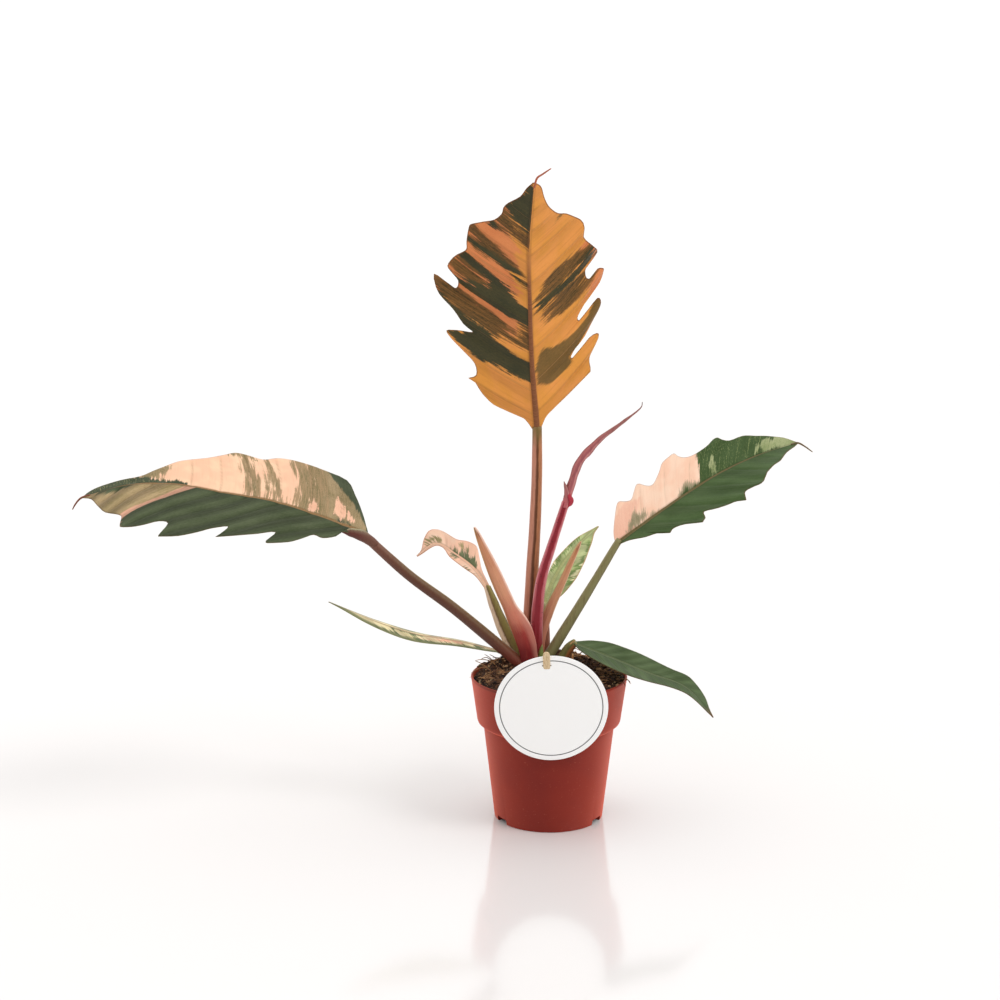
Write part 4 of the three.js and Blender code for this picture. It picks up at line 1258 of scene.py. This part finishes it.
# Papery sheaths
SHEATHS = {}
SHEATHS["large"] = Blade(
    [(-14, -12, 118), (-18, -13, 139), (-27, -15, 161), (-37, -17, 183), (-47, -19, 207), (-57, -21, 232)],
    both((0.2, 1, 0.2)), both(26), both((0.2, 0.0)),
    ([
        (0, 5.6), (8, 6.8), (15, 6.8), (24, 7.8), (36, 9), (46, 8.2), (54, 6.2), (60, 5.6), (70, 5.8),
        (84, 5.6), (96, 4.8), (108, 3.4), (117, 2.2), (122, 0.9),
    ], [
        (0, 5.6), (8, 6.6), (15, 6.2), (24, 6.6), (36, 7.4), (48, 7), (60, 6.2), (74, 6), (86, 5.6),
        (98, 4.6), (110, 3.2), (117, 2.2), (122, 0.9),
    ]),
    rib=(0.0, 2.0), quilt=0.0, half=[3.4, 3.4, 2.2, 1.3, 0.9, 0.7, 0.5],
)
SHEATHS["small"] = Blade(
    [(-7, 2.5, 119), (-6, 2, 141), (0, 0, 162), (9, -2, 183), (16, -3, 200), (23, -4, 216)],
    [(0.1, 1, 0.2), (-0.2, 1, 0.3)], both(24), both((0.2, 0.0)),
    both([(0, 3), (12, 3.4), (38, 4), (54, 3.4), (74, 2.8), (92, 2.2), (100, 1.6), (104, 0.7)]),
    rib=(0.0, 2.0), quilt=0.0, half=[1.6, 1.5, 1.2, 0.9, 0.7, 0.5],
)
for name, blade in SHEATHS.items():
    blade.piece(name + "_sheath", SHEATH_PAINTS[name], "sheath_" + name, ["sheath_" + name])

# Pot: a turned shell with three cut-outs at its foot
POT_PROFILE = [
    (0, 0.8), (30, 0.6), (36, 0), (41, 0), (41.7, 0.25), (42, 0.9), (46.2, 37), (50.3, 72.2), (50.6, 73.4),
    (51.4, 74.1), (53.6, 75.4), (54.7, 76.4), (55.2, 77.6), (55.45, 79.2), (57.6, 94.6), (59.7, 109.6),
    (60, 110.6), (60, 111.3), (59.7, 111.8), (59.2, 112), (58.7, 111.8), (58.4, 111.2), (58.1, 109.5),
    (56, 94.6), (53.8, 79.2), (53.4, 77.4), (51, 75.6), (48.9, 73.6), (44.6, 37), (40.5, 2.4), (39.8, 1.6),
    (30, 1.9), (0, 1.9),
]
POT_STEPS = 192
CUT_ANGLES = (-30, 90, 210)
CUT_DEPTH = 12.0
CUT_WIDTH = 13.0
CUT_HEIGHT = 4.2
CUT_REACH = 42.0
CUT_CORNER = 1.1


def turned_pot(column, row):
    angle = 2 * math.pi * column / POT_STEPS
    radius, height = POT_PROFILE[row]
    return Vector((radius * math.cos(angle), radius * math.sin(angle), height)), (0, 0), {}


pot_grid = (POT_STEPS, len(POT_PROFILE) - 1, turned_pot)
pot = skin_piece("pot_shell", pot_paint(), "pot_plastic", ["pot"], *pot_grid)

sheet = bmesh.new()
for angle in CUT_ANGLES:
    block = bmesh.ops.create_cube(sheet, size=1.0)["verts"]
    bmesh.ops.scale(sheet, vec=(CUT_DEPTH, CUT_WIDTH, 2 * CUT_HEIGHT), verts=block)
    bmesh.ops.translate(sheet, vec=(CUT_REACH, 0, 0), verts=block)
    bmesh.ops.rotate(sheet, cent=(0, 0, 0), matrix=Matrix.Rotation(math.radians(angle), 3, "Z"), verts=block)
level = [edge for edge in sheet.edges if min(vert.co.z for vert in edge.verts) > 0]
radial = []
for edge in level:
    run = (edge.verts[1].co - edge.verts[0].co).normalized()
    middle = (edge.verts[1].co + edge.verts[0].co) / 2
    if abs(run.dot(middle.normalized())) > 0.5 and run.length > 0:
        radial.append(edge)
bmesh.ops.bevel(
    sheet, geom=radial, offset=CUT_CORNER, segments=4, profile=0.5, affect="EDGES", material=-1
)
cutter = shaped("cutter", sheet)
cut = pot.modifiers.new("foot_cuts", "BOOLEAN")
cut.operation = "DIFFERENCE"
cut.solver = "EXACT"
cut.object = cutter
bpy.context.view_layer.update()
ready = pot.evaluated_get(bpy.context.evaluated_depsgraph_get())
pot.data = bpy.data.meshes.new_from_object(ready)
pot.modifiers.clear()
bpy.data.objects.remove(cutter)
for face in pot.data.polygons:
    face.use_smooth = True
pot.data.set_sharp_from_angle(angle=math.radians(32))

# Soil: a lumpy bed, and on it crumbs, fibres and pale specks
SOIL_EDGE = 57.6
SOIL_REACH = 57.8
SOIL_EDGE_HEIGHT = 109.5
SOIL_TOP_HEIGHT = 121.0
BED_COLUMNS = 200
BED_ROWS = 72
BED_FOOT = [(57.3, 107.5), (53.2, 78.6), (48.3, 75.0), (40.0, 2.2), (0.0, 2.2)]
MOUNDS = [(-37, 8, 5.5, 9), (13, 16, 6.5, 11), (-13, -9, 5.0, 10), (36, 8, 2.0, 10)]  # x, y, height, width
STRANDS = 260
STRAND_REACH = 57
TWIG_RADIUS = 0.42


def soil_height(x, y):
    """The heap's height: as in the part's source, with a few mounds on it and without the fine grain."""
    far = min(1.0, math.hypot(x, y) / SOIL_REACH)
    heap = SOIL_EDGE_HEIGHT + (SOIL_TOP_HEIGHT - SOIL_EDGE_HEIGHT) * (1 - far**2.6)
    lumps = math.sin(x * 0.45 + 1.3) * math.cos(y * 0.52 - 0.4) + 0.6 * math.sin(x * 0.21 - y * 0.83)
    heap += 1.3 * lumps * (1 - 0.6 * far) + 1.2 * far * (x / 60)
    for near_x, near_y, height, width in MOUNDS:
        heap += height * math.exp(-((x - near_x) ** 2 + (y - near_y) ** 2) / width**2)
    return heap


def grain(x, y):
    """The fine grain on the heap."""
    rough = noise.fractal(Vector((x / 5.5, y / 5.5, 3.1)), 0.7, 2.1, 5)
    pits = noise.cell(Vector((x / 2.1, y / 2.1, 0.4))) - 0.5
    return 1.5 * rough + 0.5 * pits


def bed(column, row):
    angle = 2 * math.pi * column / BED_COLUMNS
    if row <= BED_ROWS:
        reach = SOIL_EDGE * row / BED_ROWS
        x, y = reach * math.cos(angle), reach * math.sin(angle)
        settle = 1 - 0.5 * (row / BED_ROWS) ** 8
        height = soil_height(x, y) + grain(x, y) * settle
    else:
        reach, height = BED_FOOT[row - BED_ROWS - 1]
        x, y = reach * math.cos(angle), reach * math.sin(angle)
    return Vector((x, y, height)), (x / UV_UNIT, y / UV_UNIT), {}


bed_paint = soil_paint("soil_bed", (33, 23, 17), (94, 64, 46), (176, 132, 94))
skin_piece("soil_bed", bed_paint, "soil", ["soil"], BED_COLUMNS, BED_ROWS + len(BED_FOOT), bed)

draw = random.Random(7)


def on_soil(reach, sink=0.0):
    """A random place on the heap within reach of the pot's axis, clear of the stalks' feet."""
    while True:
        x, y = draw.uniform(-reach, reach), draw.uniform(-reach, reach)
        if math.hypot(x, y) < reach and math.hypot((x + 10) / 20, (y - 3) / 15) > 1:
            return Vector((x, y, soil_height(x, y) - sink))


def on_rim():
    """A random place on the back left of the pot's lip, where crumbs lie that darken the lip as painted
    shade.
    """
    angle = math.radians(draw.uniform(96, 158))
    reach = draw.uniform(57.2, 59.6)
    return Vector((reach * math.cos(angle), reach * math.sin(angle), draw.uniform(111.4, 112.6)))


def crumbs(sheet, count, sizes, reach, squash=0.6, shading_lip=False):
    """Adds lumps of soil within reach of the pot's axis, or on its lip, where they darken it as painted
    shade.
    """
    tint = layer(sheet, "tint")
    for _ in range(count):
        size = draw.uniform(*sizes) * draw.uniform(0.7, 1.0)
        place = on_rim() if shading_lip else on_soil(reach, -size * 0.25)
        shade = draw.random()
        lump = bmesh.ops.create_icosphere(sheet, subdivisions=1, radius=size)["verts"]
        spin = Matrix.Rotation(draw.uniform(0, 6.28), 3, "Z")
        turn = spin @ Matrix.Rotation(draw.uniform(-0.6, 0.6), 3, "X")
        for vert in lump:
            vert.co *= draw.uniform(0.7, 1.25)
            vert.co = turn @ Vector((vert.co.x * 1.3, vert.co.y, vert.co.z * squash)) + place
            vert[tint] = shade


sheet = bmesh.new()
crumbs(sheet, 1500, (0.5, 1.4), 57.6)
crumbs(sheet, 380, (1.3, 2.5), 56.0, 0.5)
# Crumbs on the back left of the lip, which darken it as painted shade
crumbs(sheet, 130, (0.6, 1.5), 0.0, 0.6, shading_lip=True)
crumb_paint = soil_paint("soil_crumbs", (44, 30, 22), (126, 86, 58), (212, 168, 124), tinted=True)
stored("soil_crumbs", sheet, crumb_paint, smooth=False)

sheet = bmesh.new()
crumbs(sheet, 150, (0.45, 1.15), 56.0, 0.8)
speck_paint = soil_paint("soil_specks", (190, 160, 120), (222, 196, 156), (240, 226, 200))
stored("soil_specks", sheet, speck_paint, smooth=False)

sheet = bmesh.new()
for _ in range(STRANDS):
    start = on_soil(54.0, -0.8)
    way = draw.uniform(0, 2 * math.pi)
    stretch = draw.uniform(3.0, 8.0)
    points = [start]
    for step in range(3):
        way += draw.uniform(-0.7, 0.7)
        x = points[-1].x + stretch * math.cos(way)
        y = points[-1].y + stretch * math.sin(way)
        if math.hypot(x, y) > STRAND_REACH:
            x, y = x * 0.93, y * 0.93
        points.append(Vector((x, y, soil_height(x, y) + draw.uniform(0.4, 2.6))))
    thick = draw.uniform(0.2, 0.5)
    stalk(sheet, points, lambda share, turn: thick * (1.1 - 0.5 * share), 5, 2.2)
TWIGS = [
    [(-40, 2, 120), (-46, 0, 123), (-52, -2, 124.5), (-57, -4, 124)],
    [(-38, 4, 121), (-42, 3, 125), (-46, 0, 128)], [(-41, 0, 119), (-45, 3, 124), (-50, 5, 127)],
    [(-36, -8, 118), (-41, -12, 121.5), (-47, -14, 121)], [(-34, 0, 121), (-38, -3, 125.5), (-43, -6, 125)],
    [(56, -12, 111), (60, -14, 111.5), (62, -15, 108.5)], [(-42, 4, 120), (-48, 2, 125), (-53, -1, 124)],
    [(-44, -8, 117), (-50, -11, 121), (-56, -12, 119), (-60, -11, 116)],
    [(-34, 2, 121), (-39, 1, 125), (-44, 4, 124)], [(-46, -2, 117), (-52, -1, 121), (-57, -4, 124)],
    [(-34, -14, 118), (-39, -18, 121), (-43, -22, 119)],
    [(48, -18, 113), (54, -19, 114), (59, -17, 113), (61, -19, 110)],
    [(50, -24, 111), (55, -24, 113), (57, -27, 110)], [(30, -12, 120), (36, -13, 123), (41, -16, 120)],
    [(24, -6, 122), (29, -8, 126), (33, -7, 122)], [(16, 12, 126), (20, 10, 130), (25, 9, 128)],
    [(10, 14, 126), (14, 12, 131), (13, 10, 134)], [(22, 10, 124), (27, 8, 128), (33, 7, 125)],
]
for points in TWIGS:
    stalk(sheet, points, lambda share, turn: TWIG_RADIUS * (1.1 - 0.6 * share), 6, 1.5)
fibre_paint = wood_or_fibre("soil_fibres", (190, 142, 96), (84, 54, 36), (60.0, 60.0, 60.0), 0.85)
stored("soil_fibres", sheet, fibre_paint)

# Dry scraps at the foot of the low right leaf
SCRAPS = [
    ([(13, -7, 133), (16, -9, 138), (19.5, -11, 142.5)], [0.9, 1.0, 0.3]),
    ([(18, -11, 132), (17, -13, 127), (15, -15, 122)], [0.9, 0.8, 0.5]),
]
sheet = bmesh.new()
for points, radii in SCRAPS:
    stalk(sheet, points, grooved(radii, 0.3, 0.0, 0.1), 10, 0.8)
closed(sheet)
scrap_paint = wood_or_fibre("dry_scraps", (222, 176, 120), (160, 104, 62), (500.0, 500.0, 60.0))
stored("dry_scraps", sheet, scrap_paint)

# The card leans on the pot's collar, and its stick goes through its slot down into the soil
COLLAR_FOOT = 55.3
COLLAR_FOOT_HEIGHT = 78
COLLAR_LIP = 60
COLLAR_TALL = 34
CARD_GAP = 0.7
collar_slope = (COLLAR_LIP - COLLAR_FOOT) / COLLAR_TALL
collar_lean = math.atan(collar_slope)
collar_there = COLLAR_FOOT + collar_slope * (CARD_HEIGHT - COLLAR_FOOT_HEIGHT)
card_back = collar_there + CARD_GAP / math.cos(collar_lean)
card_place = (
    Matrix.Translation((0, -card_back, CARD_HEIGHT))
    @ Matrix.Rotation(collar_lean, 4, "X")
    @ Matrix.Rotation(-CARD_TURN, 4, "Y")
)
slot = card_place @ Vector((SLOT_SIDE, 0, CARD_RADIUS - SLOT_FROM_TOP))
stick_place = (
    Matrix.Translation(slot) @ Matrix.Rotation(STICK_LEAN, 4, "X") @ Matrix.Rotation(-CARD_TURN, 4, "Y")
)
CARD_RINGS = [0.0, 6.0, 12.0, 18.0, 24.0, 30.0, 36.0, 40.0, 41.6, 41.88, 42.0]
CARD_RIM = [1.0] * 9 + [0.75, 0.35]  # the share of its thickness that the card has at each ring
CARD_SIDES = 144


def card_spot(column, row):
    """Rings over the card's front, round its rim and back to its middle behind."""
    angle = 2 * math.pi * column / CARD_SIDES
    last = len(CARD_RINGS) - 1
    front = row <= last
    inward = row if front else 2 * last + 1 - row
    ring = CARD_RINGS[inward]
    x, z = ring * math.sin(angle), ring * math.cos(angle)
    thick = CARD_THICK / 2 * CARD_RIM[inward]
    y = (-thick if front else thick) + CARD_BOW * (x / CARD_RADIUS) ** 2
    return card_place @ Vector((x, y, z)), (x / UV_UNIT, z / UV_UNIT), {"front": 1.0 if front else 0.0}


card_grid = (CARD_SIDES, 2 * len(CARD_RINGS) - 1, card_spot, ["front"])
skin_piece("card", card_paint(), "card", ["label_card"], *card_grid)

STICK_SIDES = 32
STICK_ROWS = 60


def stick_spot(column, row):
    """A flat stick with soft edges, its top end rounded."""
    angle = 2 * math.pi * column / STICK_SIDES
    share = row / STICK_ROWS
    height = STICK_ABOVE - STICK_LENGTH * (1 - share) ** 1.6
    from_top = STICK_ABOVE - height
    half = STICK_WIDTH / 2
    crown = 1.5 * half
    taper = 1.0 if from_top > crown else math.sqrt(max(0.0, 1 - (1 - from_top / crown) ** 2))
    if row == 0:
        taper = 0.0
    across, through_it = math.cos(angle), math.sin(angle)
    swell = (abs(across) ** 5 + abs(through_it) ** 5) ** -0.2
    x = half * taper * across * swell
    y = STICK_THICK / 2 * min(1.0, taper * 1.4) * through_it * swell
    return stick_place @ Vector((x, y, height)), (x / UV_UNIT, height / UV_UNIT), {}


stick_paint = wood_or_fibre("stick_wood", (232, 208, 170), (206, 176, 134), (1400.0, 1400.0, 60.0), 0.6)
skin_piece("stick", stick_paint, "stick_wood", ["label_stick"], STICK_SIDES, STICK_ROWS, stick_spot)

# Floor and light
sheet = bmesh.new()
bmesh.ops.create_circle(sheet, cap_ends=True, segments=96, radius=9000.0)
floor = shaped("floor", sheet, smooth=False)
floor_paint().dress(floor)

world = bpy.data.worlds.new("studio")
bpy.context.scene.world = world
world.use_nodes = True
sky = Sky(world)
across, depth, rise = sky.parts(sky.node("ShaderNodeTexCoord", output="Generated"))
front = (-depth).between(-0.2, 0.9) * rise.between(0.9, 0.2)
sides = abs(across).between(0.4, 1.0) * rise.between(0.9, 0.3)
sky.shine(1.06 - front * 0.68 + sides * 0.35)

key_data = bpy.data.lights.new("key", "SUN")
key_data.energy = 0.8
key_data.angle = math.radians(24)
key = bpy.data.objects.new("key", key_data)
key.rotation_euler = Vector((-0.56, 0.34, -0.76)).to_track_quat("-Z", "Y").to_euler()
bpy.context.scene.collection.objects.link(key)

# The crown stays the part's own solid
crown_paint = wood_or_fibre("crown", (122, 86, 58), (70, 46, 32), (300.0, 300.0, 120.0), 0.8, 0.0006)
crown_paint.dress(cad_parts["crown"])
